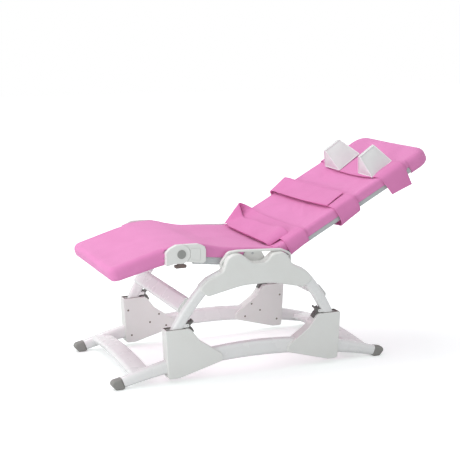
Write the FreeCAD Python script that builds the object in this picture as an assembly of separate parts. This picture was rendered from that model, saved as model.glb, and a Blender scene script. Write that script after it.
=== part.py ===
import FreeCAD, Part
import math
import os

os.makedirs("parts", exist_ok=True)

# Reclining bath chair for a child, at rest, in millimetres.
# X runs from the calf end to the head end, Y across the chair and Z up from the floor.
# Everything is first placed from the middle of the stand and moved to the middle of the whole
# chair when it is written out. Left is -Y, right is +Y, front is the calf end, rear the head end.

vec = FreeCAD.Vector
origin = vec(0, 0, 0)
axis_x = vec(1, 0, 0)
axis_y = vec(0, 1, 0)
axis_z = vec(0, 0, 1)
quarter_turn = 90.0

# fits
overrun = 5.0
soft_gap = 0.3
slide_gap = 0.4
pin_gap = 0.08
wall_gap = 0.5
same_place = 1e-4

# stand rails
rail_spacing = 481.4
rail_width = 33.0
rail_middle_top = 119.0
rail_middle_low = 60.0
rail_end_top_x = 497.0
rail_end_top_z = 40.0
rail_end_low_x = 484.0
rail_end_low_z = 5.5
rail_edge = 13.5
rail_wall = 2.5

# foot caps
foot_tip_x = 535.6
foot_sole_z = 0.0
foot_edge = 7.0
foot_plug = 22.0

# base cross tubes
base_tube_x = 425.0
base_tube_width = 76.0
base_tube_height = 25.0
base_tube_end_z = 42.5
base_tube_rise = 14.0
tube_wall = 2.2

# leg brackets
bracket_tip_x = 127.0
bracket_length = 213.0
bracket_low_z = 16.0
bracket_height = 177.0
bracket_width = 46.0
bracket_wall = 3.5
bracket_edge = 3.0
screw_head = 7.5
screw_head_depth = 2.0
screw_shank = 4.0
screw_boss = 10.0

# across the chair: the tubes lie inside the edge of the cloth, the hinges and the arches beside it
cloth_half = 242.0
tube_inset = 4.0
tube_outer_y = cloth_half - tube_inset

# side arches
arch_side_gap = 1.0
arch_y = cloth_half + arch_side_gap
arch_foot_z = 190.0
arch_lean = 6.5
arch_depth = 40.0
arch_width = 30.0
arch_corner = 12.0
arch_top_z = 372.0
arch_flat_half = 112.0
arch_shoulder_radius = 112.0
arch_shoulder_turn = 48.0
arch_leg_radius = 650.0
arch_leg_turn = 15.5
spigot_end_z = 158.0
leg_gap = 0.8
liner_width = 2.5
liner_height = 4.5
liner_proud = 0.8

# arch cross tubes
arch_tube_x = 264.0
arch_tube_z = 272.0
arch_tube_depth = 62.0
arch_tube_width = 27.0
arch_tube_slope = 51.0

# wave covers
cover_half = 222.0
cover_low_z = 304.0
cover_height = 146.0
cover_outer = 18.0
cover_inner = 17.5
cover_wall = 3.0
cover_edge = 6.0
grip_depth = 12.0
grip_inset = 1.5
grip_left_x = -136.0
grip_length = 272.0
grip_low_z = 400.0
grip_height = 57.0

# latch levers
lever_hub_x = 257.0
lever_hub_z = 204.0
lever_width = 20.0
lever_size = 44.0
lever_pin = 4.0
lever_ear = 3.0
lever_ear_radius = 6.0
lever_turn = 14.0

# seat rails and seat cloth
tube_width = 24.0
tube_corner = 11.5
seat_tube_depth = 58.0
seat_tube_front_x = -222.0
seat_tube_front_z = 442.2
seat_tube_rear_x = 22.0
seat_tube_rear_z = 413.3
cloth = 6.0
cloth_edge = 7.0
seat_step_x = -184.0
seat_step_z = 482.5
seat_bend_x = -116.0
seat_bend_z = 465.5
seat_rear_x = 66.0
seat_rear_z = 449.6
seat_skirt_front_z = 436.3
seat_skirt_rear_z = 421.0
skirt_gap = 1.5
knee_hump_z = 488.0
knee_hump_front_x = -262.0
knee_hump_rear_x = -206.0

# knee hinge
knee_x = -277.5
knee_z = 457.0
knee_proud = 16.0
knee_grip = 28.0
knee_ear_inset = 6.0
knee_skin_proud = 10.3
knee_outer_y = cloth_half + knee_proud
knee_inner_y = cloth_half - knee_grip
knee_ear_y = cloth_half - knee_ear_inset
knee_skin_y = cloth_half + knee_skin_proud
knee_side_gap = 0.3
knee_disc = 33.4
knee_eye = 24.0
knee_pin = 14.0
knee_pin_end = 24.0
knee_cap = 15.5
knee_cap_proud = 3.2
knee_cap_depth = 3.0
knee_inner_top = 19.0
knee_front_reach = 56.0
knee_rear_reach = 90.5
knee_housing_low = 47.0
knee_housing_height = 80.0
knee_edge = 2.5
knee_tube_radius = 21.0
roll_outer = 25.5
roll_start = 35.0
roll_end = 160.0
tab_length = 41.0
tab_low = 50.0
tab_thick = 11.0
tab_neck = 21.0
tab_neck_top = 27.0
tab_width = 14.0
tab_travel = 4.5

# calf support, in its own frame at the knee
calf_slope = 16.85
calf_top = 38.0
calf_knee_low = 22.0
calf_end_low = 12.0
calf_reach = 256.0
calf_low_front = 48.0
calf_round = 16.0
calf_plan_round = 20.0
calf_cloth = 3.7
calf_tube_depth = 40.0
calf_tube_front = 47.0
calf_bow_radius = 40.0
calf_skin_outer = 29.6
calf_skin_inner = 26.0

# back, in its own frame from the foot of the back cloth
back_slope = 28.55
back_foot_x = 92.1
back_foot_z = 449.0
hip_x = 92.0
hip_z = 415.0
back_length = 688.0
back_tube_depth = 50.0
back_bow_radius = 50.0
back_skirt = 41.0
back_skirt_start = 8.0
back_skirt_end = 583.0
pocket_start = 598.0
pocket_depth = 60.0
pocket_round = 20.0
pocket_plan_round = 54.0
pocket_cloth = 3.7
pocket_slack = 3.6
back_tab_depth = 28.0
hip_roll_turn = 56.0
hip_roll_gap = 1.5

# hip hinge and seat mounts
hip_eye = 21.0
hip_pin = 12.0
hip_head = 20.0
hip_head_depth = 3.0
hip_boss = 16.0
hip_pin_proud = 8.0
hip_pin_end_y = cloth_half + hip_pin_proud
hip_front_x = -40.0
hip_length = 86.0
hip_low_z = 382.0
hip_height = 62.0
hip_proud = 1.0
hip_outer_y = cloth_half + hip_proud
hip_edge = 3.0
lug_front = 9.0
lug_rear = 12.0
bolt_grip = 6.6
mount_x = -86.0
mount_z = 408.5
mount_boss = 12.0
mount_bolt = 8.0
hip_screw_x = -5.7
hip_screw_z = 436.0
hip_screw_head = 9.0

# straps and head blocks, in the frame of the back
strap = 3.6
strap_round = 9.0
hip_strap_start = 30.0
hip_strap_width = 87.0
hip_strap_drop = 60.0
hip_pad_start = 13.0
hip_pad_width = 66.0
hip_pad_thick = 15.0
hip_pad_half = 212.0
chest_strap_start = 250.0
chest_strap_width = 90.0
chest_strap_drop = 74.0
chest_pad_start = 240.0
chest_pad_width = 98.0
chest_pad_half = 200.0
chest_pad_thick = 9.0
head_strap_start = 449.0
head_strap_width = 118.0
head_strap_drop = 62.0
block_length = 114.0
block_width = 112.0
block_height = 80.0
block_ridge = 84.0
block_ridge_width = 12.0
block_start = 452.0
block_edge = 5.0
left_block_y = -158.0
right_block_y = 106.0
ridge_shift = 10.0

# Outlines are shares of the size that each piece covers: along, up, corner radius (of the height).
foot_shares = [(0.14, 0.0, 0.12), (0.63, 0.0, 0.2), (1.0, 0.52, 0.25), (0.82, 0.85, 0.3)]
bracket_shares = [(1.0, 1.0, 0.03), (0.958, 0.006, 0.055), (0.775, 0.006, 0.25),
                  (0.0, 0.26, 0.05), (0.005, 0.405, 0.08), (0.405, 0.73, 0.35), (0.57, 1.0, 0.13)]
bracket_screw_shares = [(0.915, 0.735), (0.33, 0.585), (0.505, 0.42), (0.195, 0.31), (0.855, 0.17)]
cover_shares = [(-1.0, 0.2, 0.09), (-0.865, 0.41, 0.35), (-0.6, 0.60, 0.12), (-0.52, 1.0, 0.26),
                (-0.3, 0.99, 0.3), (-0.075, 0.735, 0.25), (0.12, 0.725, 0.22), (0.24, 0.935, 0.2),
                (0.475, 0.955, 0.26), (0.6, 0.63, 0.14), (0.865, 0.41, 0.35), (1.0, 0.2, 0.09),
                (0.83, 0.0, 0.07), (0.25, 0.2, 1.9), (-0.25, 0.2, 1.9), (-0.83, 0.0, 0.07)]
grip_shares = [(0.0, 0.0, 0.0), (0.0, 0.26, 0.2), (0.1, 0.95, 0.4), (0.23, 1.0, 0.5),
               (0.86, 0.86, 0.6), (1.0, 0.55, 0.35), (1.0, 0.0, 0.0)]
lever_shares = [(-0.52, 0.27, 0.03), (-0.45, 0.4, 0.03), (-0.18, 0.2, 0.1), (-0.02, 0.42, 0.04),
                (0.07, 0.4, 0.03), (0.13, 0.0, 0.05), (0.16, -0.2, 0.02), (-0.12, -0.22, 0.1),
                (-0.35, -0.5, 0.1), (-0.47, -0.64, 0.03), (-0.6, -0.56, 0.04), (-0.42, -0.24, 0.16),
                (-0.22, -0.02, 0.1)]
calf_shell_shares = [(0.0, 0.1, 0.05), (0.0, 0.7, 0.12), (0.1, 0.87, 0.12), (0.26, 1.0, 0.12),
                     (0.37, 1.0, 0.0), (0.37, 0.18, 0.0), (0.2, 0.18, 0.05)]
seat_shell_shares = [(0.45, 1.0, 0.0), (0.8, 0.985, 0.12), (0.93, 0.9, 0.12), (1.0, 0.72, 0.1),
                     (1.0, 0.2, 0.09), (0.93, 0.12, 0.06), (0.53, 0.22, 0.0)]
panel_shares = [(0.605, 0.33, 0.07), (0.605, 0.83, 0.07), (0.86, 0.79, 0.07), (0.86, 0.24, 0.07)]
hip_shares = [(0.0, 0.06, 0.12), (0.03, 1.0, 0.16), (0.78, 1.0, 0.12), (1.0, 0.52, 0.14),
              (0.93, 0.02, 0.12)]
groove = 1.3
calf_dip_share = 0.97
tube_round_share = 0.98
ear_round_share = 0.9
tab_low_share = 0.4
tab_top_share = 0.2
hump_round_share = 0.6
lip_share = 0.65
lip_low_share = 0.6
lip_front_share = 0.7
pad_round_share = 0.45


def loop(corners):
    """Closed wire in the XZ plane through corners of (x, z, radius)."""
    starts = []
    ends = []
    bows = []
    for i, (x, z, radius) in enumerate(corners):
        corner = vec(x, 0, z)
        before = vec(corners[i - 1][0], 0, corners[i - 1][1]) - corner
        after = vec(corners[(i + 1) % len(corners)][0], 0, corners[(i + 1) % len(corners)][1]) - corner
        before.normalize()
        after.normalize()
        half = before.getAngle(after) / 2
        starts.append(corner + before * (radius / math.tan(half)))
        ends.append(corner + after * (radius / math.tan(half)))
        bow = before + after
        if radius > 0:
            bow.normalize()
        bows.append(corner + bow * (radius / math.sin(half) - radius))
    edges = []
    for i in range(len(corners)):
        if (ends[i] - starts[i]).Length > same_place:
            edges.append(Part.Arc(starts[i], bows[i], ends[i]).toShape())
        following = starts[(i + 1) % len(corners)]
        if (following - ends[i]).Length > same_place:
            edges.append(Part.LineSegment(ends[i], following).toShape())
    return Part.Wire(edges)


def prism(corners, y0, y1):
    """Outline in the XZ plane carried from y0 to y1."""
    face = Part.Face(loop(corners))
    face.translate(vec(0, y0, 0))
    return face.extrude(vec(0, y1 - y0, 0))


def spread(shares, x, z, width, height):
    """Corners from an outline of shares."""
    return [(x + a * width, z + b * height, r * height) for a, b, r in shares]


def slab(x0, x1, y0, y1, z0, z1):
    """Block between two corners."""
    return Part.makeBox(x1 - x0, y1 - y0, z1 - z0, vec(x0, y0, z0))


def disc(radius, x, z, y0, y1):
    """Round bar along Y."""
    return Part.makeCylinder(radius, y1 - y0, vec(x, y0, z), axis_y)


def sector(inner, outer, x, z, start, end, y0, y1):
    """Part of a round shell along Y, between two angles from +X towards +Z."""
    def place(radius, angle):
        return vec(x + radius * math.cos(math.radians(angle)), y0,
                   z + radius * math.sin(math.radians(angle)))
    middle = (start + end) / 2
    outside = Part.Arc(place(outer, start), place(outer, middle), place(outer, end)).toShape()
    inside = Part.Arc(place(inner, end), place(inner, middle), place(inner, start)).toShape()
    head = Part.LineSegment(place(outer, end), place(inner, end)).toShape()
    foot = Part.LineSegment(place(inner, start), place(outer, start)).toShape()
    return Part.Face(Part.Wire([outside, head, inside, foot])).extrude(vec(0, y1 - y0, 0))


def turned(shape, degrees, x, z):
    """Copy turned about a Y axis at (x, z), so that +X goes up for positive degrees."""
    copy = shape.copy()
    copy.rotate(vec(x, 0, z), axis_y, -degrees)
    return copy


def moved(shape, x, y, z):
    copy = shape.copy()
    copy.translate(vec(x, y, z))
    return copy


def other_side(shape):
    return shape.mirror(origin, axis_y)


def other_end(shape):
    return shape.mirror(origin, axis_x)


def edges_at(shape, height):
    """Edges that lie in the plane y = height."""
    found = []
    for edge in shape.Edges:
        box = edge.BoundBox
        if abs(box.YMin - height) < same_place and abs(box.YMax - height) < same_place:
            found.append(edge)
    return found


def softened(shape, radius, heights):
    """Rounds the outline edges in the planes y = heights."""
    edges = []
    for height in heights:
        edges = edges + edges_at(shape, height)
    return shape.makeFillet(radius, edges)


def one_solid(shape):
    """Largest solid of a result."""
    return max(shape.Solids, key=lambda solid: solid.Volume)


def oval(width, height, corner, y=0, z=0):
    """Rounded rectangle in the YZ plane at x = 0, as a face."""
    corners = [(-width / 2, -height / 2, corner), (-width / 2, height / 2, corner),
               (width / 2, height / 2, corner), (width / 2, -height / 2, corner)]
    wire = loop(corners)
    wire.rotate(origin, axis_z, quarter_turn)
    wire.translate(vec(0, y, z))
    return Part.Face(wire)


def beam(start, end, y, width, depth, corner, wall):
    """Straight rounded tube in the XZ plane from start to end, and its outer envelope."""
    run = vec(end[0] - start[0], 0, end[1] - start[1])
    slope = math.degrees(math.atan2(run.z, run.x))
    outer = oval(width, depth, corner, y).extrude(axis_x * run.Length)
    inner = oval(width - 2 * wall, depth - 2 * wall, corner - wall, y).extrude(axis_x * run.Length)
    tube = moved(turned(outer.cut(inner), slope, 0, 0), start[0], 0, start[1])
    envelope = moved(turned(outer, slope, 0, 0), start[0], 0, start[1])
    return tube, envelope


def rail_y():
    return rail_spacing / 2


def rail_outline(inset):
    """Side view of a stand rail, as an XZ wire."""
    top_z = rail_end_top_z - inset
    low_z = rail_end_low_z + inset
    top = Part.Arc(vec(-rail_end_top_x, 0, top_z), vec(0, 0, rail_middle_top - inset),
                   vec(rail_end_top_x, 0, top_z)).toShape()
    low = Part.Arc(vec(rail_end_low_x, 0, low_z), vec(0, 0, rail_middle_low + inset),
                   vec(-rail_end_low_x, 0, low_z)).toShape()
    head = Part.LineSegment(vec(rail_end_top_x, 0, top_z), vec(rail_end_low_x, 0, low_z)).toShape()
    foot = Part.LineSegment(vec(-rail_end_low_x, 0, low_z), vec(-rail_end_top_x, 0, top_z)).toShape()
    return Part.Wire([top, head, low, foot])


def rail_body(inset):
    """Solid of the rail's form, set in by a wall on every side but its ends."""
    half = rail_width / 2 - inset
    face = Part.Face(rail_outline(inset))
    face.translate(vec(0, rail_y() - half, 0))
    bar = face.extrude(vec(0, 2 * half, 0))
    long_edges = [edge for edge in bar.Edges if edge.Length > rail_middle_top * 2]
    return bar.makeFillet(rail_edge - inset, long_edges)


def stand_rail():
    """Bowed hollow rail, deeper in the middle, with slanted ends."""
    return rail_body(0).cut(rail_body(rail_wall))


def foot_cap():
    """Rubber cap on the slanted rail end, with a plug that fills the bore."""
    width = foot_tip_x - rail_end_low_x
    corners = [(rail_end_low_x, rail_end_low_z, 0)]
    corners = corners + spread(foot_shares, rail_end_low_x, foot_sole_z, width, rail_end_top_z)
    corners = corners + [(rail_end_top_x, rail_end_top_z, 0)]
    half = rail_width / 2
    cap = prism(corners, rail_y() - half, rail_y() + half)
    cap = softened(cap, foot_edge, [rail_y() - half, rail_y() + half])
    plug_zone = slab(rail_end_low_x - foot_plug, rail_end_top_x, rail_y() - half, rail_y() + half,
                     0, rail_middle_top)
    plug = rail_body(rail_wall).common(plug_zone)
    return cap.fuse(plug).removeSplitter()


def base_cross_tube():
    """Flat oval tube, bowed up in the middle, coped to both rails."""
    half = rail_y()
    bend = (half * half + base_tube_rise * base_tube_rise) / (2 * base_tube_rise)
    sweep = math.degrees(math.asin(half / bend))
    corner = base_tube_height / 2 * tube_round_share

    def bar(inset):
        corners = [(-base_tube_width / 2 + inset, -base_tube_height / 2 + inset, corner - inset),
                   (-base_tube_width / 2 + inset, base_tube_height / 2 - inset, corner - inset),
                   (base_tube_width / 2 - inset, base_tube_height / 2 - inset, corner - inset),
                   (base_tube_width / 2 - inset, -base_tube_height / 2 + inset, corner - inset)]
        face = Part.Face(loop(corners))
        face.translate(vec(base_tube_x, 0, base_tube_end_z + base_tube_rise))
        centre = vec(base_tube_x, 0, base_tube_end_z + base_tube_rise - bend)
        face.rotate(centre, axis_x, sweep)
        return face.revolve(centre, axis_x, -2 * sweep)

    rails = rail_body(0)
    return one_solid(bar(0).cut(bar(tube_wall)).cut(rails).cut(other_side(rails)))


def leg_path():
    """Points and turns of the arch's centre line, on the rear half: flat, shoulder, leg, spigot."""
    shoulder = math.radians(arch_shoulder_turn)
    final = math.radians(arch_shoulder_turn + arch_leg_turn)
    middle = (shoulder + final) / 2
    shoulder_z = arch_top_z - arch_shoulder_radius
    start = (arch_flat_half, arch_top_z)
    bow = (arch_flat_half + arch_shoulder_radius * math.sin(shoulder / 2),
           shoulder_z + arch_shoulder_radius * math.cos(shoulder / 2))
    joint = (arch_flat_half + arch_shoulder_radius * math.sin(shoulder),
             shoulder_z + arch_shoulder_radius * math.cos(shoulder))
    leg_x = joint[0] - arch_leg_radius * math.sin(shoulder)
    leg_z = joint[1] - arch_leg_radius * math.cos(shoulder)
    leg_bow = (leg_x + arch_leg_radius * math.sin(middle), leg_z + arch_leg_radius * math.cos(middle))
    foot = (leg_x + arch_leg_radius * math.sin(final), leg_z + arch_leg_radius * math.cos(final))
    reach = (foot[1] - spigot_end_z + arch_depth) / math.sin(final)
    end = (foot[0] + reach * math.cos(final), foot[1] - reach * math.sin(final))
    return start, bow, joint, leg_bow, foot, end, final


def arch_form(inset):
    """Arch with its spigots, upright in the plane y = arch_y."""
    start, bow, joint, leg_bow, foot, end, final = leg_path()
    rear = [start, bow, joint, leg_bow, foot, end]
    right = [vec(x, arch_y, z) for x, z in rear]
    left = [vec(-x, arch_y, z) for x, z in rear]
    edges = [Part.LineSegment(left[5], left[4]).toShape(),
             Part.Arc(left[4], left[3], left[2]).toShape(),
             Part.Arc(left[2], left[1], left[0]).toShape(),
             Part.LineSegment(left[0], right[0]).toShape(),
             Part.Arc(right[0], right[1], right[2]).toShape(),
             Part.Arc(right[2], right[3], right[4]).toShape(),
             Part.LineSegment(right[4], right[5]).toShape()]
    path = Part.Wire(edges)
    width = arch_width - 2 * inset
    depth = arch_depth - 2 * inset
    section = oval(width, depth, arch_corner - inset).OuterWire
    section.rotate(origin, axis_y, -math.degrees(final))
    section.translate(left[5])
    bar = path.makePipeShell([section], True, False)
    low = slab(-foot_tip_x, foot_tip_x, 0, 2 * arch_y, -arch_y, spigot_end_z)
    return bar.cut(low)


def leaned(shape):
    """Copy of an upright right-hand piece, leaned outward about the foot of the arch."""
    copy = shape.copy()
    copy.rotate(vec(0, arch_y, arch_foot_z), axis_x, -arch_lean)
    return copy


def lever_ears():
    """Two welded ears on the leg that carry the latch lever."""
    ears = []
    for side in (-1, 1):
        near = lever_width / 2 + slide_gap
        y0 = arch_y + side * (near + lever_ear / 2) - lever_ear / 2
        corners = [(lever_hub_x - lever_ear_radius, lever_hub_z - lever_ear_radius,
                    lever_ear_radius * ear_round_share),
                   (lever_hub_x - lever_ear_radius, lever_hub_z + lever_ear_radius,
                    lever_ear_radius * ear_round_share),
                   (lever_hub_x + arch_depth / 2, lever_hub_z + lever_ear_radius, 0),
                   (lever_hub_x + arch_depth / 2, lever_hub_z - lever_ear_radius, 0)]
        ears.append(prism(corners, y0, y0 + lever_ear))
    return ears


def arch_tube():
    """Leaning arch of oval tube with welded latch ears on both legs."""
    outside = arch_form(0)
    tube = outside.cut(arch_form(tube_wall))
    for ear in lever_ears():
        bored = ear.cut(disc(lever_pin / 2 + pin_gap, lever_hub_x, lever_hub_z, 0, 2 * arch_y))
        outer_part = bored.cut(outside)
        tube = tube.fuse(outer_part)
        tube = tube.fuse(other_end(outer_part))
    lean_room = slab(-cover_half * 2, cover_half * 2, 0, 2 * arch_y, 0, spigot_end_z + wall_gap)
    return one_solid(leaned(tube.removeSplitter()).cut(lean_room))


def bracket_prism(inset, trim):
    """Bracket outline, set in by inset; its width is set in by trim on both sides."""
    corners = spread(bracket_shares, bracket_tip_x, bracket_low_z, bracket_length, bracket_height)
    wire = loop(corners)
    if inset > 0:
        wire = wire.makeOffset2D(-inset)
    half = bracket_width / 2 - trim
    face = Part.Face(wire)
    face.translate(vec(0, rail_y() - half, 0))
    return face.extrude(vec(0, 2 * half, 0))


def leg_half_width(radians):
    """Half the leg's length along X, where it is cut level."""
    return arch_depth / 2 / math.sin(radians)


def socket_limits():
    """Limits of the leg socket: front and rear x at the mouth and the floor, and both y."""
    start, bow, joint, leg_bow, foot, end, final = leg_path()
    run = 1 / math.tan(final)
    mouth_z = bracket_low_z + bracket_height + liner_proud
    mouth_x = foot[0] - (mouth_z - foot[1]) * run
    floor_x = foot[0] + (foot[1] - spigot_end_z) * run
    half = leg_half_width(final) + leg_gap
    shift = (spigot_end_z - arch_foot_z) * math.tan(math.radians(arch_lean))
    side = arch_width / 2 / math.cos(math.radians(arch_lean)) + leg_gap
    return mouth_x - half, floor_x - half, floor_x + half, arch_y + shift - side, arch_y + side


def leg_socket(growth):
    """Space in which the leaning leg stands and through which it lifts straight up."""
    mouth_x, floor_x, rear_x, y0, y1 = socket_limits()
    mouth_z = bracket_low_z + bracket_height
    corners = [(mouth_x - growth, mouth_z + overrun, 0), (mouth_x - growth, mouth_z, 0),
               (floor_x - growth, spigot_end_z - growth, 0), (rear_x + growth, spigot_end_z - growth, 0),
               (rear_x + growth, mouth_z + overrun, 0)]
    return prism(corners, y0 - growth, y1 + growth)


def socket_liner(gap):
    """Dark rim round the mouth of the socket."""
    mouth_x, floor_x, rear_x, y0, y1 = socket_limits()
    top = bracket_low_z + bracket_height + liner_proud
    low = top - liner_height
    outer = slab(mouth_x - liner_width - gap, rear_x + liner_width + gap, y0 - liner_width - gap,
                 y1 + liner_width + gap, low, top)
    return outer.cut(slab(mouth_x, rear_x, y0, y1, low, top))


def screw_places():
    return [(bracket_tip_x + a * bracket_length, bracket_low_z + b * bracket_height)
            for a, b in bracket_screw_shares]


def bracket_body():
    """Whole bracket, hollow, with collar, socket, screw bosses and rail bore."""
    half = bracket_width / 2
    body = bracket_prism(0, 0)
    body = softened(body, bracket_edge, [rail_y() - half, rail_y() + half])
    hollow = bracket_prism(bracket_wall, bracket_wall)
    collar = Part.Face(rail_outline(-bracket_wall))
    collar.translate(vec(0, rail_y() - half, 0))
    hollow = hollow.cut(collar.extrude(vec(0, 2 * half, 0)))
    hollow = hollow.cut(leg_socket(bracket_wall))
    for x, z in screw_places():
        hollow = hollow.cut(disc(screw_boss / 2, x, z, rail_y() - half, rail_y() + half))
    hollow = one_solid(hollow)
    body = body.cut(hollow).cut(rail_body(0)).cut(leg_socket(0))
    return body.cut(socket_liner(0))


def bracket_shells():
    """Outer and inner shell, parted along the middle of the rail."""
    body = bracket_body()
    far = foot_tip_x
    outer_zone = slab(0, far, rail_y(), rail_y() + bracket_width, 0, far)
    inner_zone = slab(0, far, rail_y() - bracket_width, rail_y(), 0, far)
    outer = one_solid(body.common(outer_zone))
    inner = one_solid(body.common(inner_zone))
    face_y = rail_y() - bracket_width / 2
    depth = (bracket_width - rail_width) / 2
    for x, z in screw_places():
        inner = inner.cut(disc(screw_head / 2 + pin_gap, x, z, face_y - overrun, face_y + screw_head_depth))
        inner = inner.cut(disc(screw_shank / 2 + pin_gap, x, z, face_y, face_y + depth))
    return outer, inner


def bracket_screws():
    """Five countersunk screws of one bracket."""
    face_y = rail_y() - bracket_width / 2
    depth = (bracket_width - rail_width) / 2
    screws = []
    for x, z in screw_places():
        head = disc(screw_head / 2, x, z, face_y, face_y + screw_head_depth)
        shank = disc(screw_shank / 2, x, z, face_y + screw_head_depth, face_y + depth - soft_gap)
        screws.append(head.fuse(shank))
    return screws


def latch_lever():
    """Sprung lever on the leg: a paddle, and a hook that follows the bracket's shoulder."""
    corners = spread(lever_shares, lever_hub_x, lever_hub_z, lever_size, lever_size)
    half = lever_width / 2
    lever = prism(corners, arch_y - half, arch_y + half)
    lever = lever.cut(disc(lever_pin / 2 + pin_gap, lever_hub_x, lever_hub_z, 0, 2 * arch_y))
    leg = arch_form(-wall_gap)
    lever = lever.cut(leg).cut(turned(leg, lever_turn, lever_hub_x, lever_hub_z))
    bracket = bracket_prism(0, -overrun)
    return one_solid(leaned(lever).cut(moved(bracket, -wall_gap, 0, wall_gap)))


def latch_pin():
    half = lever_width / 2 + slide_gap + lever_ear
    return leaned(disc(lever_pin / 2, lever_hub_x, lever_hub_z, arch_y - half, arch_y + half))


def arch_cross_tube():
    """Flat oval tube between the legs, sloped as they are, coped to both of them."""
    def bar(inset):
        width = arch_tube_depth - 2 * inset
        height = arch_tube_width - 2 * inset
        corner = (arch_tube_width / 2 - inset) * tube_round_share
        corners = [(-width / 2, -height / 2, corner), (-width / 2, height / 2, corner),
                   (width / 2, height / 2, corner), (width / 2, -height / 2, corner)]
        solid = prism(corners, -arch_y, arch_y)
        return moved(turned(solid, -arch_tube_slope, 0, 0), arch_tube_x, 0, arch_tube_z)

    leg = leaned(arch_form(0))
    tube = bar(0).cut(bar(tube_wall))
    return one_solid(tube.cut(leg).cut(other_side(leg)))


def cover_prism(inset, y0, y1):
    """Wave outline as an upright prism between two offsets from the arch plane."""
    wire = loop(spread(cover_shares, 0, cover_low_z, cover_half, cover_height))
    if inset > 0:
        wire = wire.makeOffset2D(-inset)
    face = Part.Face(wire)
    face.translate(vec(0, arch_y + y0, 0))
    return face.extrude(vec(0, y1 - y0, 0))


def outer_cover():
    """Outer wave shell with its rounded rim, open towards the arch."""
    shell = softened(cover_prism(0, 0, cover_outer), cover_edge, [arch_y + cover_outer])
    shell = shell.cut(cover_prism(cover_wall, 0, cover_outer - cover_wall))
    return leaned(shell.cut(arch_form(0)))


def inner_cover():
    """Inner wave shell with the hand-hold, the hip boss and the front seat boss."""
    shell = softened(cover_prism(0, -cover_inner, 0), cover_edge / 2, [arch_y - cover_inner])
    shell = shell.cut(cover_prism(cover_wall, cover_wall - cover_inner, 0))
    shell = shell.cut(arch_form(0))
    outline = loop(spread(grip_shares, grip_left_x, grip_low_z, grip_length, grip_height))
    rim = cover_edge
    grip_y = arch_y - cover_inner + grip_inset
    grip = Part.Face(outline).extrude(vec(0, grip_depth, 0))
    grip = grip.cut(Part.Face(outline.makeOffset2D(-rim)).extrude(vec(0, grip_depth, 0)))
    grip = moved(grip, 0, grip_y, 0)
    outside = cover_prism(0, -cover_inner, 0)
    shell = shell.fuse(grip.cut(outside))
    shell = one_solid(leaned(shell))
    for radius, x, z in ((hip_boss, hip_x, hip_z), (mount_boss, mount_x, mount_z)):
        boss = disc(radius, x, z, tube_outer_y + slide_gap, hip_pin_end_y + cover_wall + cover_wall)
        shell = shell.fuse(boss.cut(leaned(arch_form(0))))
    shell = shell.cut(disc(hip_pin / 2, hip_x, hip_z, tube_outer_y, hip_pin_end_y))
    shell = shell.cut(disc(mount_bolt / 2, mount_x, mount_z, tube_outer_y, hip_pin_end_y))
    return shell.removeSplitter()


def hip_housing(seat_envelope):
    """Block that holds the rear end of the seat rail and ties it to the inner cover."""
    corners = spread(hip_shares, hip_front_x, hip_low_z, hip_length, hip_height)
    block = prism(corners, knee_inner_y - soft_gap, hip_outer_y)
    block = softened(block, hip_edge, [hip_outer_y])
    lug = prism([(hip_front_x + lug_front, hip_low_z + hip_edge, hip_edge),
                 (hip_front_x + lug_front, mount_z, hip_edge),
                 (hip_front_x + hip_length - lug_rear, mount_z, hip_edge),
                 (hip_front_x + hip_length - lug_rear, hip_low_z + hip_edge, hip_edge)],
                hip_outer_y - hip_edge * 2, arch_y + cover_outer)
    lug = one_solid(lug.cut(leaned(cover_prism(0, -cover_inner, cover_outer + cover_outer))))
    block = block.fuse(lug).cut(seat_envelope)
    head = disc(hip_screw_head / 2 + pin_gap, hip_screw_x, hip_screw_z,
                hip_outer_y - screw_head_depth, hip_outer_y + overrun)
    hole = disc(screw_shank / 2 + pin_gap, hip_screw_x, hip_screw_z, tube_outer_y, hip_outer_y)
    return one_solid(block.cut(head).cut(hole))


def hip_screw():
    head = disc(hip_screw_head / 2, hip_screw_x, hip_screw_z, hip_outer_y - screw_head_depth, hip_outer_y)
    shank = disc(screw_shank / 2, hip_screw_x, hip_screw_z, tube_outer_y + pin_gap,
                 hip_outer_y - screw_head_depth)
    return head.fuse(shank)


def seat_bolt():
    start = tube_outer_y - bolt_grip
    return disc(mount_bolt / 2, mount_x, mount_z, start, hip_pin_end_y)


def seat_rail():
    """Deep seat tube from the knee housing to the hip housing."""
    middle = tube_outer_y - tube_width / 2
    tube, envelope = beam((seat_tube_front_x, seat_tube_front_z), (seat_tube_rear_x, seat_tube_rear_z),
                          middle, tube_width, seat_tube_depth, tube_corner, tube_wall)
    tube = tube.cut(disc(mount_bolt / 2 + pin_gap, mount_x, mount_z, middle, tube_outer_y + overrun))
    return tube, envelope


def knee_corners(shares):
    return spread(shares, knee_x - knee_front_reach, knee_z - knee_housing_low,
                  knee_front_reach + knee_rear_reach, knee_housing_height)


def above_knee():
    """Space over the inner part of the knee housings, where the cloth passes."""
    return slab(knee_x - knee_front_reach - overrun, knee_x + knee_rear_reach + overrun,
                knee_inner_y - overrun, cloth_half + knee_side_gap, knee_z + knee_inner_top, 2 * knee_z)


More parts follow.
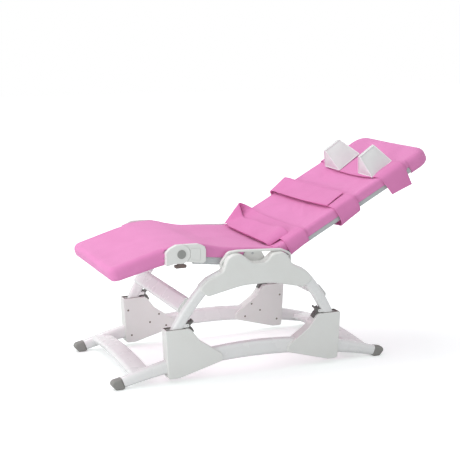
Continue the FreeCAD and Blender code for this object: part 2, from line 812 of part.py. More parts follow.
def calf_shell(calf_envelope):
    """Calf side of the knee hinge: housing on the calf tube, ear disc and boss."""
    inner_edge = knee_ear_y
    shell = prism(knee_corners(calf_shell_shares), knee_inner_y, knee_outer_y)
    shell = shell.fuse(disc(knee_disc, knee_x, knee_z, knee_inner_y, knee_outer_y)).removeSplitter()
    shell = softened(shell, knee_edge, [knee_outer_y])
    shell = shell.cut(slab(knee_x - knee_disc - knee_side_gap, knee_x + knee_rear_reach,
                           knee_inner_y - overrun, cloth_half + knee_side_gap, 0, 2 * knee_z))
    shell = shell.fuse(disc(knee_eye, knee_x, knee_z, inner_edge, cloth_half + knee_side_gap))
    shell = shell.cut(above_knee())
    shell = shell.cut(disc(knee_pin / 2 + pin_gap, knee_x, knee_z, inner_edge - overrun,
                           knee_outer_y + overrun))
    shell = shell.cut(disc(knee_cap + pin_gap, knee_x, knee_z, knee_outer_y - knee_cap_depth,
                           knee_outer_y + overrun))
    middle = (knee_ear_y + knee_skin_y - knee_side_gap) / 2
    half = tab_width / 2 + knee_side_gap
    slot = slab(knee_x - tab_neck / 2 - knee_side_gap, knee_x + tab_neck / 2 + knee_side_gap,
                middle - half, middle + half, knee_z - knee_disc - overrun,
                knee_z - tab_neck_top + tab_travel + wall_gap)
    return one_solid(shell.cut(slot).cut(calf_envelope))


def release_tab():
    """Grey tab under the knee, pushed up to free the calf support."""
    middle = (knee_ear_y + knee_skin_y - knee_side_gap) / 2
    low = knee_z - tab_low
    half = tab_length / 2
    plate = prism([(knee_x - half, low, tab_thick * tab_low_share),
                   (knee_x - half, low + tab_thick, tab_thick * tab_top_share),
                   (knee_x + half, low + tab_thick, tab_thick * tab_top_share),
                   (knee_x + half, low, tab_thick * tab_low_share)],
                  middle - tab_width / 2, middle + tab_width / 2)
    neck = slab(knee_x - tab_neck / 2, knee_x + tab_neck / 2, middle - tab_width / 2,
                middle + tab_width / 2, low + tab_thick - same_place, knee_z - tab_neck_top)
    return plate.fuse(neck).removeSplitter()


def seat_shell(seat_envelope):
    """Seat side of the knee hinge: housing on the seat tube, outer skin, slot and inner ear."""
    shell = prism(knee_corners(seat_shell_shares), knee_inner_y, knee_outer_y)
    shell = softened(shell, knee_edge, [knee_outer_y])
    slot_y = knee_ear_y - knee_side_gap
    shell = shell.cut(disc(knee_disc + knee_side_gap, knee_x, knee_z, slot_y, knee_outer_y + overrun))
    shell = shell.cut(above_knee())
    swing = disc(math.hypot(tab_length / 2, tab_low) + knee_side_gap, knee_x, knee_z, slot_y, knee_skin_y)
    below = slab(knee_x, knee_x + 2 * tab_low, slot_y, knee_skin_y, 0, knee_z - knee_side_gap)
    shell = shell.cut(swing.common(below))
    eye = disc(knee_eye, knee_x, knee_z, knee_inner_y, slot_y)
    arm = prism([(knee_x, knee_z - knee_eye, 0), (knee_x, knee_z + knee_eye, 0),
                 (knee_x + knee_eye + knee_disc / 2, knee_z + knee_eye, 0),
                 (knee_x + knee_eye + knee_disc / 2, knee_z - knee_eye, 0)], knee_inner_y, slot_y)
    shell = shell.fuse(eye).fuse(arm)
    shell = shell.cut(disc(knee_pin / 2, knee_x, knee_z, knee_inner_y - overrun, slot_y + overrun))
    panel = prism(knee_corners(panel_shares), knee_outer_y - groove, knee_outer_y + overrun)
    inside = Part.Face(loop(knee_corners(panel_shares)).makeOffset2D(-groove))
    inside.translate(vec(0, knee_outer_y - groove, 0))
    panel = panel.cut(inside.extrude(vec(0, groove + overrun, 0)))
    return one_solid(shell.cut(panel).cut(seat_envelope))


def knee_pin_solid():
    return disc(knee_pin / 2, knee_x, knee_z, knee_inner_y - knee_pin_end, knee_outer_y - knee_cap_depth)


def knee_cap_solid():
    cap = disc(knee_cap, knee_x, knee_z, knee_outer_y - knee_cap_depth, knee_outer_y + knee_cap_proud)
    return softened(cap, knee_cap_proud / 2, [knee_outer_y + knee_cap_proud])


def knee_cross_tube():
    """Tube between the knee housings; its plugged ends hold the pins."""
    half = knee_inner_y - soft_gap
    tube = disc(knee_tube_radius, knee_x, knee_z, -half, half)
    tube = tube.cut(disc(knee_tube_radius - tube_wall, knee_x, knee_z, knee_pin_end - half,
                         half - knee_pin_end))
    tube = tube.cut(disc(knee_pin / 2, knee_x, knee_z, half - knee_pin_end, half))
    return tube.cut(disc(knee_pin / 2, knee_x, knee_z, -half, knee_pin_end - half))


def seat_cloth():
    """Seat sling with its side skirts, and the roll that passes over the knee."""
    skirt_end = hip_front_x - skirt_gap
    drop = (seat_bend_z - seat_rear_z) / (seat_rear_x - seat_bend_x)
    skirt_top = seat_bend_z - drop * (skirt_end - seat_bend_x) - cloth
    bend = seat_tube_depth
    outer = prism([(seat_step_x, seat_step_z, 0), (seat_bend_x, seat_bend_z, bend),
                   (seat_rear_x, seat_rear_z, 0), (seat_rear_x, seat_rear_z - cloth, 0),
                   (skirt_end, skirt_top, 0), (skirt_end, seat_skirt_rear_z, 0),
                   (seat_step_x, seat_skirt_front_z, 0)], -cloth_half, cloth_half)
    crown = [edge for edge in outer.Edges
             if abs(abs(edge.CenterOfMass.y) - cloth_half) < same_place and
             edge.BoundBox.ZMin > seat_rear_z - same_place and edge.BoundBox.XLength > cloth]
    outer = outer.makeFillet(cloth_edge, crown)
    start = seat_step_x - overrun
    rise = (seat_step_z - seat_bend_z) / (seat_bend_x - seat_step_x)
    inside = tube_outer_y + soft_gap
    room = prism([(start, seat_step_z + rise * overrun - cloth, 0), (seat_bend_x, seat_bend_z - cloth, bend),
                  (seat_rear_x + overrun, seat_rear_z - drop * overrun - cloth, 0),
                  (seat_rear_x + overrun, seat_rear_z / 2, 0), (start, seat_rear_z / 2, 0)], -inside, inside)
    sling = outer.cut(room)
    half = knee_inner_y - wall_gap
    lip = knee_hump_front_x + roll_outer * lip_share
    hump = prism([(knee_hump_front_x, knee_hump_z, cloth * hump_round_share),
                  (knee_hump_rear_x, knee_hump_z, bend),
                  (seat_step_x, seat_step_z, 0), (seat_step_x, seat_step_z - cloth, 0),
                  (knee_hump_rear_x, knee_hump_z - cloth, 0), (lip, knee_hump_z - cloth, 0),
                  (lip, knee_z + roll_outer * lip_low_share, 0),
                  (knee_hump_front_x, knee_z + roll_outer * lip_front_share, 0)], -half, half)
    wing = prism([(knee_hump_front_x, knee_hump_z, 0), (knee_hump_rear_x, knee_hump_z, bend),
                  (seat_step_x, seat_step_z, 0), (seat_step_x, seat_step_z - cloth, 0),
                  (knee_hump_rear_x, knee_hump_z - cloth, 0), (knee_hump_front_x, knee_hump_z - cloth, 0)],
                 -cloth_half, cloth_half)
    roll = sector(knee_tube_radius + soft_gap, roll_outer, knee_x, knee_z, roll_start, roll_end,
                  -half, half)
    cloth_solid = sling.fuse(wing).fuse(hump).fuse(roll)
    return cloth_solid.cut(disc(knee_tube_radius + soft_gap, knee_x, knee_z, -half, half)).removeSplitter()


def calf_place(shape):
    """From the calf's own frame, with its origin at the knee, to the chair."""
    return moved(turned(shape, calf_slope, 0, 0), knee_x, 0, knee_z)


def calf_tube_z():
    return calf_top - calf_cloth - soft_gap - calf_tube_depth / 2


def calf_rail():
    """Calf tube from the knee housing to the foot bow."""
    middle = tube_outer_y - tube_width / 2
    end = calf_reach - calf_cloth - soft_gap - tube_width / 2 - calf_bow_radius
    tube, envelope = beam((-end, calf_tube_z()), (-calf_tube_front, calf_tube_z()), middle, tube_width,
                          calf_tube_depth, tube_corner, tube_wall)
    return calf_place(tube), calf_place(envelope)


def end_bow(reach, radius, depth, z, direction):
    """Bow that joins two side tubes at the end x = direction * reach."""
    middle = tube_outer_y - tube_width / 2
    near = direction * (reach - radius)
    far = direction * reach
    bend = radius * (1 - math.sqrt(2) / 2)
    start = vec(near, -middle, z)
    path = Part.Wire([
        Part.Arc(start, vec(far - direction * bend, bend - middle, z),
                 vec(far, radius - middle, z)).toShape(),
        Part.LineSegment(vec(far, radius - middle, z), vec(far, middle - radius, z)).toShape(),
        Part.Arc(vec(far, middle - radius, z), vec(far - direction * bend, middle - bend, z),
                 vec(near, middle, z)).toShape()])

    def pipe(inset):
        section = oval(tube_width - 2 * inset, depth - 2 * inset, tube_corner - inset).OuterWire
        section.translate(start)
        return path.makePipeShell([section], True, False)

    return pipe(0).cut(pipe(tube_wall))


def foot_bow():
    reach = calf_reach - calf_cloth - soft_gap - tube_width / 2
    return calf_place(end_bow(reach, calf_bow_radius, calf_tube_depth, calf_tube_z(), -1))


def pillow(side, plan, section):
    """Common form of a side outline, a plan outline and a cross section."""
    return side.common(plan).common(section)


def plan_prism(x0, x1, half, round0, round1, z0, z1):
    """Rounded rectangle seen from above, carried from z0 to z1."""
    wire = loop([(x0, -half, round0), (x0, half, round0), (x1, half, round1), (x1, -half, round1)])
    wire.rotate(origin, axis_x, quarter_turn)
    face = Part.Face(wire)
    face.translate(vec(0, 0, z0))
    return face.extrude(vec(0, 0, z1 - z0))


def section_prism(x0, x1, half, z0, z1, corner):
    """Rounded rectangle seen along X, carried from x0 to x1."""
    face = oval(2 * half, z1 - z0, corner, 0, (z0 + z1) / 2)
    face.translate(vec(x0, 0, 0))
    return face.extrude(vec(x1 - x0, 0, 0))


def calf_cloth_solid():
    """Sleeve of cloth over the calf tubes and the foot bow, closed at the end."""
    def form(inset):
        end = calf_round - inset
        side = prism([(-calf_reach + inset, calf_top - inset, end),
                      (-calf_reach + inset, inset - calf_end_low, end),
                      (inset - calf_low_front, inset - calf_knee_low, 0),
                      (inset - calf_low_front, 0, 0),
                      (overrun + inset, 0, 0), (overrun + inset, calf_skin_outer - inset, 0),
                      (-calf_skin_outer, calf_top * calf_dip_share - inset, calf_top),
                      (-calf_low_front - calf_round, calf_top - inset, calf_top)],
                     inset - cloth_half, cloth_half - inset)
        plan = plan_prism(-calf_reach + inset, 2 * overrun, cloth_half - inset,
                          calf_plan_round - inset, 0, -calf_reach, calf_reach)
        section = section_prism(-calf_reach, 2 * overrun, cloth_half - inset, inset - calf_knee_low,
                                calf_top - inset, calf_round - inset)
        return pillow(side, plan, section)

    sleeve = form(0).cut(form(calf_cloth))
    sleeve = sleeve.cut(disc(calf_skin_inner, 0, 0, -cloth_half, cloth_half))
    sleeve = sleeve.cut(slab(0, calf_top, -cloth_half, cloth_half, -calf_top, calf_top))
    sleeve = calf_place(sleeve)
    for y0 in (knee_inner_y - wall_gap, -cloth_half - overrun):
        y1 = y0 + cloth_half + overrun - knee_inner_y + wall_gap
        sleeve = sleeve.cut(slab(knee_x - knee_front_reach - wall_gap, knee_x + calf_top, y0, y1,
                                 0, 2 * knee_z))
    return one_solid(sleeve)


def back_place(shape):
    """From the back's own frame (along, across, above its cloth) to the chair."""
    return moved(turned(shape, back_slope, 0, 0), back_foot_x, 0, back_foot_z)


def hip_in_back():
    """Hip pivot in the frame of the back: along and above."""
    slope = math.radians(back_slope)
    dx = hip_x - back_foot_x
    dz = hip_z - back_foot_z
    return dx * math.cos(slope) + dz * math.sin(slope), dz * math.cos(slope) - dx * math.sin(slope)


def back_rail():
    """Back tube with the hinge eye in its lower end."""
    along, above = hip_in_back()
    middle = tube_outer_y - tube_width / 2
    end = back_length - pocket_cloth - pocket_slack - tube_width / 2 - back_bow_radius
    tube, envelope = beam((along + hip_eye, above), (end, above), middle, tube_width, back_tube_depth,
                          tube_corner, tube_wall)
    near = tube_outer_y - tube_width
    eye = disc(hip_eye, along, above, near, tube_outer_y)
    block = slab(along, along + hip_eye, near, tube_outer_y, above - hip_eye, above + hip_eye)
    plug = slab(along, along + hip_eye + hip_pin, near + tube_wall, tube_outer_y - tube_wall,
                above - hip_eye + tube_wall, above + hip_eye - tube_wall)
    rail = tube.fuse(eye).fuse(block).fuse(plug)
    rail = rail.cut(disc(hip_pin / 2 + pin_gap, along, above, 0, 2 * tube_outer_y))
    return back_place(rail.removeSplitter())


def head_bow():
    along, above = hip_in_back()
    reach = back_length - pocket_cloth - pocket_slack - tube_width / 2
    return back_place(end_bow(reach, back_bow_radius, back_tube_depth, above, 1))


def hip_pin_solid():
    """Shoulder pin from the inner cover through the eye of the back tube."""
    inner = tube_outer_y - tube_width - soft_gap
    shank = disc(hip_pin / 2, hip_x, hip_z, inner, hip_pin_end_y)
    head = disc(hip_head / 2, hip_x, hip_z, inner - hip_head_depth, inner)
    return shank.fuse(head)


def back_cloth():
    """Back sling with side skirts, its roll at the hip and the pocket over the head bow."""
    along, above = hip_in_back()
    sheet = -above - back_tube_depth / 2 - soft_gap
    inside = tube_outer_y + soft_gap
    outer = prism([(along, 0, 0), (pocket_start + overrun, 0, 0),
                   (pocket_start + overrun, -back_tab_depth, 0),
                   (back_skirt_end, -back_tab_depth, 0), (back_skirt_end, -back_skirt, 0),
                   (back_skirt_start, -back_skirt, cloth), (back_skirt_start, -sheet, 0),
                   (along, -sheet, 0)], -cloth_half, cloth_half)
    crown = [edge for edge in outer.Edges
             if abs(abs(edge.CenterOfMass.y) - cloth_half) < same_place and
             abs(edge.CenterOfMass.z) < same_place]
    outer = outer.makeFillet(cloth_edge, crown)
    room = prism([(back_skirt_start - overrun, -sheet, 0), (pocket_start + 2 * overrun, -sheet, 0),
                  (pocket_start + 2 * overrun, -pocket_depth, 0),
                  (back_skirt_start - overrun, -pocket_depth, 0)], -inside, inside)
    sling = outer.cut(room)
    roll = sector(hip_eye + hip_roll_gap, -above, along, above, quarter_turn, quarter_turn + hip_roll_turn,
                  -cloth_half, cloth_half)

    def pocket(inset, opening):
        top = inset if inset == 0 else sheet
        side = prism([(pocket_start - opening, -top, 0), (back_length - inset, -top, pocket_round - inset),
                      (back_length - inset, inset - pocket_depth, pocket_round - inset),
                      (pocket_start - opening, inset - pocket_depth, 0)], inset - cloth_half,
                     cloth_half - inset)
        plan = plan_prism(pocket_start - opening, back_length - inset, cloth_half - inset, 0,
                          pocket_plan_round - inset, -2 * pocket_depth, pocket_depth)
        section = section_prism(pocket_start - opening, back_length, cloth_half - inset,
                                inset - pocket_depth, -top, pocket_round / 2)
        return pillow(side, plan, section)

    bag = pocket(0, 0).cut(pocket(pocket_cloth, overrun))
    return one_solid(back_place(sling.fuse(roll).fuse(bag)).removeSplitter())


def strap_loop(start, width, drop):
    """Flat strap that goes once round the back."""
    top = soft_gap + strap
    half = cloth_half + soft_gap
    outer = section_prism(start, start + width, half + strap, -drop, top, strap_round)
    inner = section_prism(start - overrun, start + width + overrun, half, strap - drop, soft_gap,
                          strap_round - strap)
    return outer.cut(inner)


def padded_layer(start, width, half, thick):
    """Folded padded layer that lies on a strap."""
    low = soft_gap + strap
    corner = thick * pad_round_share
    return prism([(start, low, corner), (start, low + thick, corner),
                  (start + width, low + thick, corner), (start + width, low, corner)], -half, half)


def hip_strap():
    loop_part = strap_loop(hip_strap_start, hip_strap_width, hip_strap_drop)
    pad = padded_layer(hip_pad_start, hip_pad_width, hip_pad_half, hip_pad_thick)
    return back_place(loop_part.fuse(pad).removeSplitter())


def chest_strap():
    loop_part = strap_loop(chest_strap_start, chest_strap_width, chest_strap_drop)
    pad = padded_layer(chest_pad_start, chest_pad_width, chest_pad_half, chest_pad_thick)
    return back_place(loop_part.fuse(pad).removeSplitter())


def head_strap():
    return back_place(strap_loop(head_strap_start, head_strap_width, head_strap_drop))


def head_block(y, shift):
    """Foam block with a shorter ridge, held on the head strap."""
    base_z = 2 * soft_gap + strap

    def level(length, width, shift_y, z):
        wire = loop([(-length / 2, -width / 2, block_edge), (-length / 2, width / 2, block_edge),
                     (length / 2, width / 2, block_edge), (length / 2, -width / 2, block_edge)])
        wire.rotate(origin, axis_x, -quarter_turn)
        wire.translate(vec(block_start + block_length / 2, y + shift_y, z))
        return wire

    base = level(block_length, block_width, 0, base_z)
    ridge = level(block_ridge, block_ridge_width, shift, base_z + block_height)
    return back_place(Part.makeLoft([base, ridge], True, True))


def build():
    """All nodes of the chair, as a name and its solids."""
    nodes = {}

    def keep(name, *solids):
        nodes[name] = list(solids)

    def pair(name, shape):
        keep(name + "_left", other_side(shape))
        keep(name + "_right", shape)

    def corners(name, shape):
        keep(name + "_front_left", other_end(other_side(shape)))
        keep(name + "_front_right", other_end(shape))
        keep(name + "_rear_left", other_side(shape))
        keep(name + "_rear_right", shape)

    def all_corners(shape):
        return [other_end(other_side(shape)), other_end(shape), other_side(shape), shape]

    pair("stand_rail", stand_rail())
    corners("foot_cap", foot_cap())
    cross = base_cross_tube()
    keep("base_cross_tube_front", other_end(cross))
    keep("base_cross_tube_rear", cross)
    outer, inner = bracket_shells()
    corners("leg_bracket_outer", outer)
    corners("leg_bracket_inner", inner)
    screws = []
    for screw in bracket_screws():
        screws = screws + all_corners(screw)
    keep("bracket_screws", *screws)
    keep("leg_socket_liners", *all_corners(socket_liner(0)))

    pair("arch_tube", arch_tube())
    corners("latch_lever", latch_lever())
    keep("latch_pins", *all_corners(latch_pin()))
    pair("wave_cover_outer", outer_cover())
    pair("wave_cover_inner", inner_cover())
    cross = arch_cross_tube()
    keep("arch_cross_tube_front", other_end(cross))
    keep("arch_cross_tube_rear", cross)
    rail, envelope = seat_rail()
    pair("seat_rail", rail)
    pair("hip_housing", hip_housing(envelope))
    keep("seat_bolts", other_side(seat_bolt()), seat_bolt(), other_side(hip_screw()), hip_screw())
    pair("knee_housing_seat", seat_shell(envelope))
    keep("hinge_pins", other_side(knee_pin_solid()), knee_pin_solid(), other_side(hip_pin_solid()),
         hip_pin_solid())
    keep("knee_pin_caps", other_side(knee_cap_solid()), knee_cap_solid())
    keep("knee_cross_tube", knee_cross_tube())
    keep("seat_cloth", seat_cloth())

    rail, envelope = calf_rail()
    pair("calf_rail", rail)
    keep("foot_bow", foot_bow())
    pair("knee_housing_calf", calf_shell(envelope))
    pair("knee_release_tab", release_tab())
    keep("calf_cloth", calf_cloth_solid())

    pair("back_rail", back_rail())
    keep("head_bow", head_bow())
    keep("back_cloth", back_cloth())
    keep("hip_strap", hip_strap())
    keep("chest_strap", chest_strap())
    keep("head_strap", head_strap())
    keep("head_block_left", head_block(left_block_y, ridge_shift))
    keep("head_block_right", head_block(right_block_y, ridge_shift))
    return nodes


def export(nodes):
    """Puts the middle of the whole chair at x = 0 and writes one file for each node."""
    whole = Part.Compound([solid for solids in nodes.values() for solid in solids])
    box = whole.optimalBoundingBox(False)
    shift = -(box.XMin + box.XMax) / 2
    print("shift %.4f" % shift)
    print("box", box)
    for name, solids in nodes.items():
        shape = solids[0] if len(solids) == 1 else Part.Compound(solids)
        shape = moved(shape, shift, 0, 0)
        if not shape.isValid() or any(not solid.isClosed() for solid in shape.Solids):
            print("not sound:", name)
        print(name, len(shape.Solids), "solids", round(shape.Volume))
        shape.exportStep(os.path.join("parts", name + ".step"))


export(build())
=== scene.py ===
import math

import bmesh
import bpy
import numpy as np
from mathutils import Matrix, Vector, noise


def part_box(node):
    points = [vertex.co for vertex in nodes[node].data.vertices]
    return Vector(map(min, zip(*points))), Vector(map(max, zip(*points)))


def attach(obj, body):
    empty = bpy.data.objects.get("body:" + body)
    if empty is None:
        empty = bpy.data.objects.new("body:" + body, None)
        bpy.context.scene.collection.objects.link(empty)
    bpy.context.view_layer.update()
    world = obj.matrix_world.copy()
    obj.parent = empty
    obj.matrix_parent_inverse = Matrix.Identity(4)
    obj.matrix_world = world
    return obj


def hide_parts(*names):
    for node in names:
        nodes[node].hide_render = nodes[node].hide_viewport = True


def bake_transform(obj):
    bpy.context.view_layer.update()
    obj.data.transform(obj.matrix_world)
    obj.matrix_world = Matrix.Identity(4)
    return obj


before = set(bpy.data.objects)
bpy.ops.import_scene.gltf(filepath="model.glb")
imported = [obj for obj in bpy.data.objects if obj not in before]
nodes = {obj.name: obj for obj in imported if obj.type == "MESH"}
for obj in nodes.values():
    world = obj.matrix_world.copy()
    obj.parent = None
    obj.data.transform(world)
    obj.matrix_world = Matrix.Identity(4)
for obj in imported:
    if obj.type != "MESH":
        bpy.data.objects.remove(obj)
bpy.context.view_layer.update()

# Lengths along the chair are measured from the middle of the stand, which lies at this x of the frame.
rail_low, rail_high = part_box("stand_rail_left")
stand_x = (rail_low[0] + rail_high[0]) / 2

# The photographer's place: a long lens a little above the seat, turned towards the head end, so that the
# near side, the calf end and the tops of the cloths show.
camera_down, camera_turn = 10.885, 22.872
camera = bpy.data.objects.new("camera", bpy.data.cameras.new("camera"))
camera.data.lens = 86.1
camera.data.sensor_width = 36
camera.data.clip_end = 60
camera.location = (stand_x - 1.55319, -3.70729, 1.24865)
camera.rotation_euler = (math.radians(90 - camera_down), 0, math.radians(-camera_turn))
bpy.context.scene.collection.objects.link(camera)
bpy.context.scene.camera = camera

# Studio: one wide soft box overhead, weaker ones in front on the left and low beyond the calf end, pale light
# all round, and a small one under the seat that brightens the far side of the stand.
bpy.context.scene.view_settings.view_transform = "Standard"


def soft_box(name, place, target, size, watts):
    lamp = bpy.data.lights.new(name, "AREA")
    lamp.shape = "DISK"
    lamp.size = size
    lamp.energy = watts
    light = bpy.data.objects.new(name, lamp)
    light.location = place
    light.visible_camera = False
    light.rotation_euler = (Vector(target) - Vector(place)).to_track_quat("-Z", "Y").to_euler()
    bpy.context.scene.collection.objects.link(light)


soft_box("overhead_box", place=(-1.3, 0.9, 3.1), target=(0, 0, 0.4), size=2.0, watts=37)
soft_box("front_box", place=(-2.6, -2.9, 1.5), target=(0, 0, 0.3), size=1.8, watts=9)
soft_box("low_box", place=(-2.9, -0.9, 0.5), target=(-0.3, 0, 0.2), size=1.6, watts=20)
soft_box("under_seat_box", place=(stand_x, -0.19, 0.3), target=(stand_x - 0.05, 0.24, 0.2), size=0.3,
         watts=0.5)

# The light from all round is dimmer than the white that the camera and the glossy coats see.
world = bpy.data.worlds.new("studio")
bpy.context.scene.world = world
world.use_nodes = True
sky = world.node_tree.nodes
sky_links = world.node_tree.links
sky.clear()
around = sky.new("ShaderNodeBackground")
around.inputs["Color"].default_value = (0.97, 0.98, 1.0, 1)
around.inputs["Strength"].default_value = 0.70
white = sky.new("ShaderNodeBackground")
white.inputs["Color"].default_value = (1, 1, 1, 1)
ray_kind = sky.new("ShaderNodeLightPath")
seen_white = sky.new("ShaderNodeMath")
seen_white.operation = "MAXIMUM"
seen_or_mirrored = sky.new("ShaderNodeMath")
seen_or_mirrored.operation = "MAXIMUM"
choose = sky.new("ShaderNodeMixShader")
sky_out = sky.new("ShaderNodeOutputWorld")
sky_links.new(ray_kind.outputs["Is Camera Ray"], seen_white.inputs[0])
sky_links.new(ray_kind.outputs["Is Transmission Ray"], seen_white.inputs[1])
sky_links.new(seen_white.outputs[0], seen_or_mirrored.inputs[0])
sky_links.new(ray_kind.outputs["Is Glossy Ray"], seen_or_mirrored.inputs[1])
sky_links.new(seen_or_mirrored.outputs[0], choose.inputs[0])
sky_links.new(around.outputs[0], choose.inputs[1])
sky_links.new(white.outputs[0], choose.inputs[2])
sky_links.new(choose.outputs[0], sky_out.inputs[0])

# The floor is white studio board that keeps the shadow of the stand. A glow that only the camera sees
# brightens it, less near the stand and more further out, so that it runs into the white behind it.
floor_half = 14
glow_near, glow_far = 0.40, 0.75
near_reach, far_reach = 0.7, 2.4
board = bmesh.new()
bmesh.ops.create_grid(board, x_segments=1, y_segments=1, size=floor_half)
floor_mesh = bpy.data.meshes.new("studio_floor")
board.to_mesh(floor_mesh)
board.free()
floor = bpy.data.objects.new("studio_floor", floor_mesh)
bpy.context.scene.collection.objects.link(floor)
paper = bpy.data.materials.new("studio_board")
paper.use_nodes = True
board_nodes = paper.node_tree.nodes
board_links = paper.node_tree.links
board_nodes.clear()
matt = board_nodes.new("ShaderNodeBsdfDiffuse")
# The matt colour has a faint green tint that cancels the pink light the cloth throws on the board: a painted
# correction of light, so the shadow reads grey.
matt.inputs["Color"].default_value = (0.84, 0.875, 0.862, 1)
glow = board_nodes.new("ShaderNodeEmission")
glow.inputs["Color"].default_value = (1, 1, 1, 1)
board_ray = board_nodes.new("ShaderNodeLightPath")
board_place = board_nodes.new("ShaderNodeTexCoord")
distance = board_nodes.new("ShaderNodeVectorMath")
distance.operation = "LENGTH"
glow_by_distance = board_nodes.new("ShaderNodeMapRange")
glow_by_distance.inputs["From Min"].default_value = near_reach
glow_by_distance.inputs["From Max"].default_value = far_reach
glow_by_distance.inputs["To Min"].default_value = glow_near
glow_by_distance.inputs["To Max"].default_value = glow_far
camera_glow = board_nodes.new("ShaderNodeMath")
camera_glow.operation = "MULTIPLY"
lit_board = board_nodes.new("ShaderNodeAddShader")
board_out = board_nodes.new("ShaderNodeOutputMaterial")
board_links.new(board_place.outputs["Object"], distance.inputs[0])
board_links.new(distance.outputs["Value"], glow_by_distance.inputs["Value"])
board_links.new(glow_by_distance.outputs[0], camera_glow.inputs[0])
board_links.new(board_ray.outputs["Is Camera Ray"], camera_glow.inputs[1])
board_links.new(camera_glow.outputs[0], glow.inputs["Strength"])
board_links.new(matt.outputs[0], lit_board.inputs[0])
board_links.new(glow.outputs[0], lit_board.inputs[1])
board_links.new(lit_board.outputs[0], board_out.inputs["Surface"])
floor_mesh.materials.append(paper)


def shader_group(name, inputs, outputs):
    """An empty node group with its sockets and its input and output nodes."""
    group = bpy.data.node_groups.new(name, "ShaderNodeTree")
    for socket, kind, value in inputs:
        made = group.interface.new_socket(socket, in_out="INPUT", socket_type=kind)
        if value is not None:
            made.default_value = value
    for socket, kind in outputs:
        group.interface.new_socket(socket, in_out="OUTPUT", socket_type=kind)
    return group, group.nodes.new("NodeGroupInput"), group.nodes.new("NodeGroupOutput")


def math_node(tree, operation, first, second, third=None):
    """A math node in tree; each term is a number or a socket."""
    node = tree.nodes.new("ShaderNodeMath")
    node.operation = operation
    for slot, term in enumerate((first, second, third)):
        if term is None:
            continue
        if isinstance(term, (int, float)):
            node.inputs[slot].default_value = term
        else:
            tree.links.new(term, node.inputs[slot])
    return node.outputs[0]


# Skin of coated and moulded pieces: slow unevenness of the coat, fine grain and a little dust in patches.
skin, skin_in, skin_out = shader_group(
    "coated_skin",
    [("Color", "NodeSocketColor", (0.8, 0.8, 0.8, 1)), ("Grime", "NodeSocketColor", (0.5, 0.47, 0.42, 1)),
     ("Grain Size", "NodeSocketFloat", 900.0), ("Ripple Size", "NodeSocketFloat", 60.0),
     ("Grime Share", "NodeSocketFloat", 0.15), ("Roughness", "NodeSocketFloat", 0.35),
     ("Roughness Spread", "NodeSocketFloat", 0.1)],
    [("Color", "NodeSocketColor"), ("Roughness", "NodeSocketFloat"), ("Height", "NodeSocketFloat")])
place = skin.nodes.new("ShaderNodeTexCoord").outputs["Object"]
ripple = skin.nodes.new("ShaderNodeTexNoise")
ripple.inputs["Detail"].default_value = 2
skin.links.new(place, ripple.inputs["Vector"])
skin.links.new(skin_in.outputs["Ripple Size"], ripple.inputs["Scale"])
grain = skin.nodes.new("ShaderNodeTexNoise")
grain.inputs["Detail"].default_value = 3
skin.links.new(place, grain.inputs["Vector"])
skin.links.new(skin_in.outputs["Grain Size"], grain.inputs["Scale"])
cloudy = skin.nodes.new("ShaderNodeTexNoise")
cloudy.inputs["Scale"].default_value = 9
cloudy.inputs["Detail"].default_value = 5
cloudy.inputs["Roughness"].default_value = 0.6
skin.links.new(place, cloudy.inputs["Vector"])
ramp = skin.nodes.new("ShaderNodeMapRange")
ramp.inputs["From Min"].default_value = 0.45
ramp.inputs["From Max"].default_value = 0.8
skin.links.new(cloudy.outputs["Fac"], ramp.inputs["Value"])
share = math_node(skin, "MULTIPLY", ramp.outputs[0], skin_in.outputs["Grime Share"])
tint = skin.nodes.new("ShaderNodeMix")
tint.data_type = "RGBA"
skin.links.new(share, tint.inputs["Factor"])
skin.links.new(skin_in.outputs["Color"], tint.inputs["A"])
skin.links.new(skin_in.outputs["Grime"], tint.inputs["B"])
skin.links.new(tint.outputs["Result"], skin_out.inputs["Color"])
spread = math_node(skin, "MULTIPLY", math_node(skin, "SUBTRACT", cloudy.outputs["Fac"], 0.5),
                  skin_in.outputs["Roughness Spread"])
skin.links.new(math_node(skin, "ADD", skin_in.outputs["Roughness"], spread), skin_out.inputs["Roughness"])
skin.links.new(math_node(skin, "MULTIPLY_ADD", grain.outputs["Fac"], 0.3, ripple.outputs["Fac"]),
               skin_out.inputs["Height"])


def coated(name, color, grime, share, rough, spread, grain_size, ripple_size, bump, coat=0.0, metal=0.0):
    """Material of a coated, moulded or plated hard piece."""
    material = bpy.data.materials.new(name)
    material.use_nodes = True
    tree = material.node_tree
    shader = tree.nodes["Principled BSDF"]
    surface = tree.nodes.new("ShaderNodeGroup")
    surface.node_tree = skin
    surface.inputs["Color"].default_value = (*color, 1)
    surface.inputs["Grime"].default_value = (*grime, 1)
    surface.inputs["Grime Share"].default_value = share
    surface.inputs["Roughness"].default_value = rough
    surface.inputs["Roughness Spread"].default_value = spread
    surface.inputs["Grain Size"].default_value = grain_size
    surface.inputs["Ripple Size"].default_value = ripple_size
    relief = tree.nodes.new("ShaderNodeBump")
    relief.inputs["Strength"].default_value = bump
    relief.inputs["Distance"].default_value = 0.0006
    tree.links.new(surface.outputs["Height"], relief.inputs["Height"])
    tree.links.new(surface.outputs["Color"], shader.inputs["Base Color"])
    tree.links.new(surface.outputs["Roughness"], shader.inputs["Roughness"])
    tree.links.new(relief.outputs["Normal"], shader.inputs["Normal"])
    shader.inputs["Coat Weight"].default_value = coat
    shader.inputs["Coat Roughness"].default_value = 0.12
    shader.inputs["Metallic"].default_value = metal
    return material


def dress(material, *starts):
    """Gives material to every CAD node whose name starts with one of the words."""
    for name, node in nodes.items():
        if name.startswith(starts):
            node.data.materials.clear()
            node.data.materials.append(material)


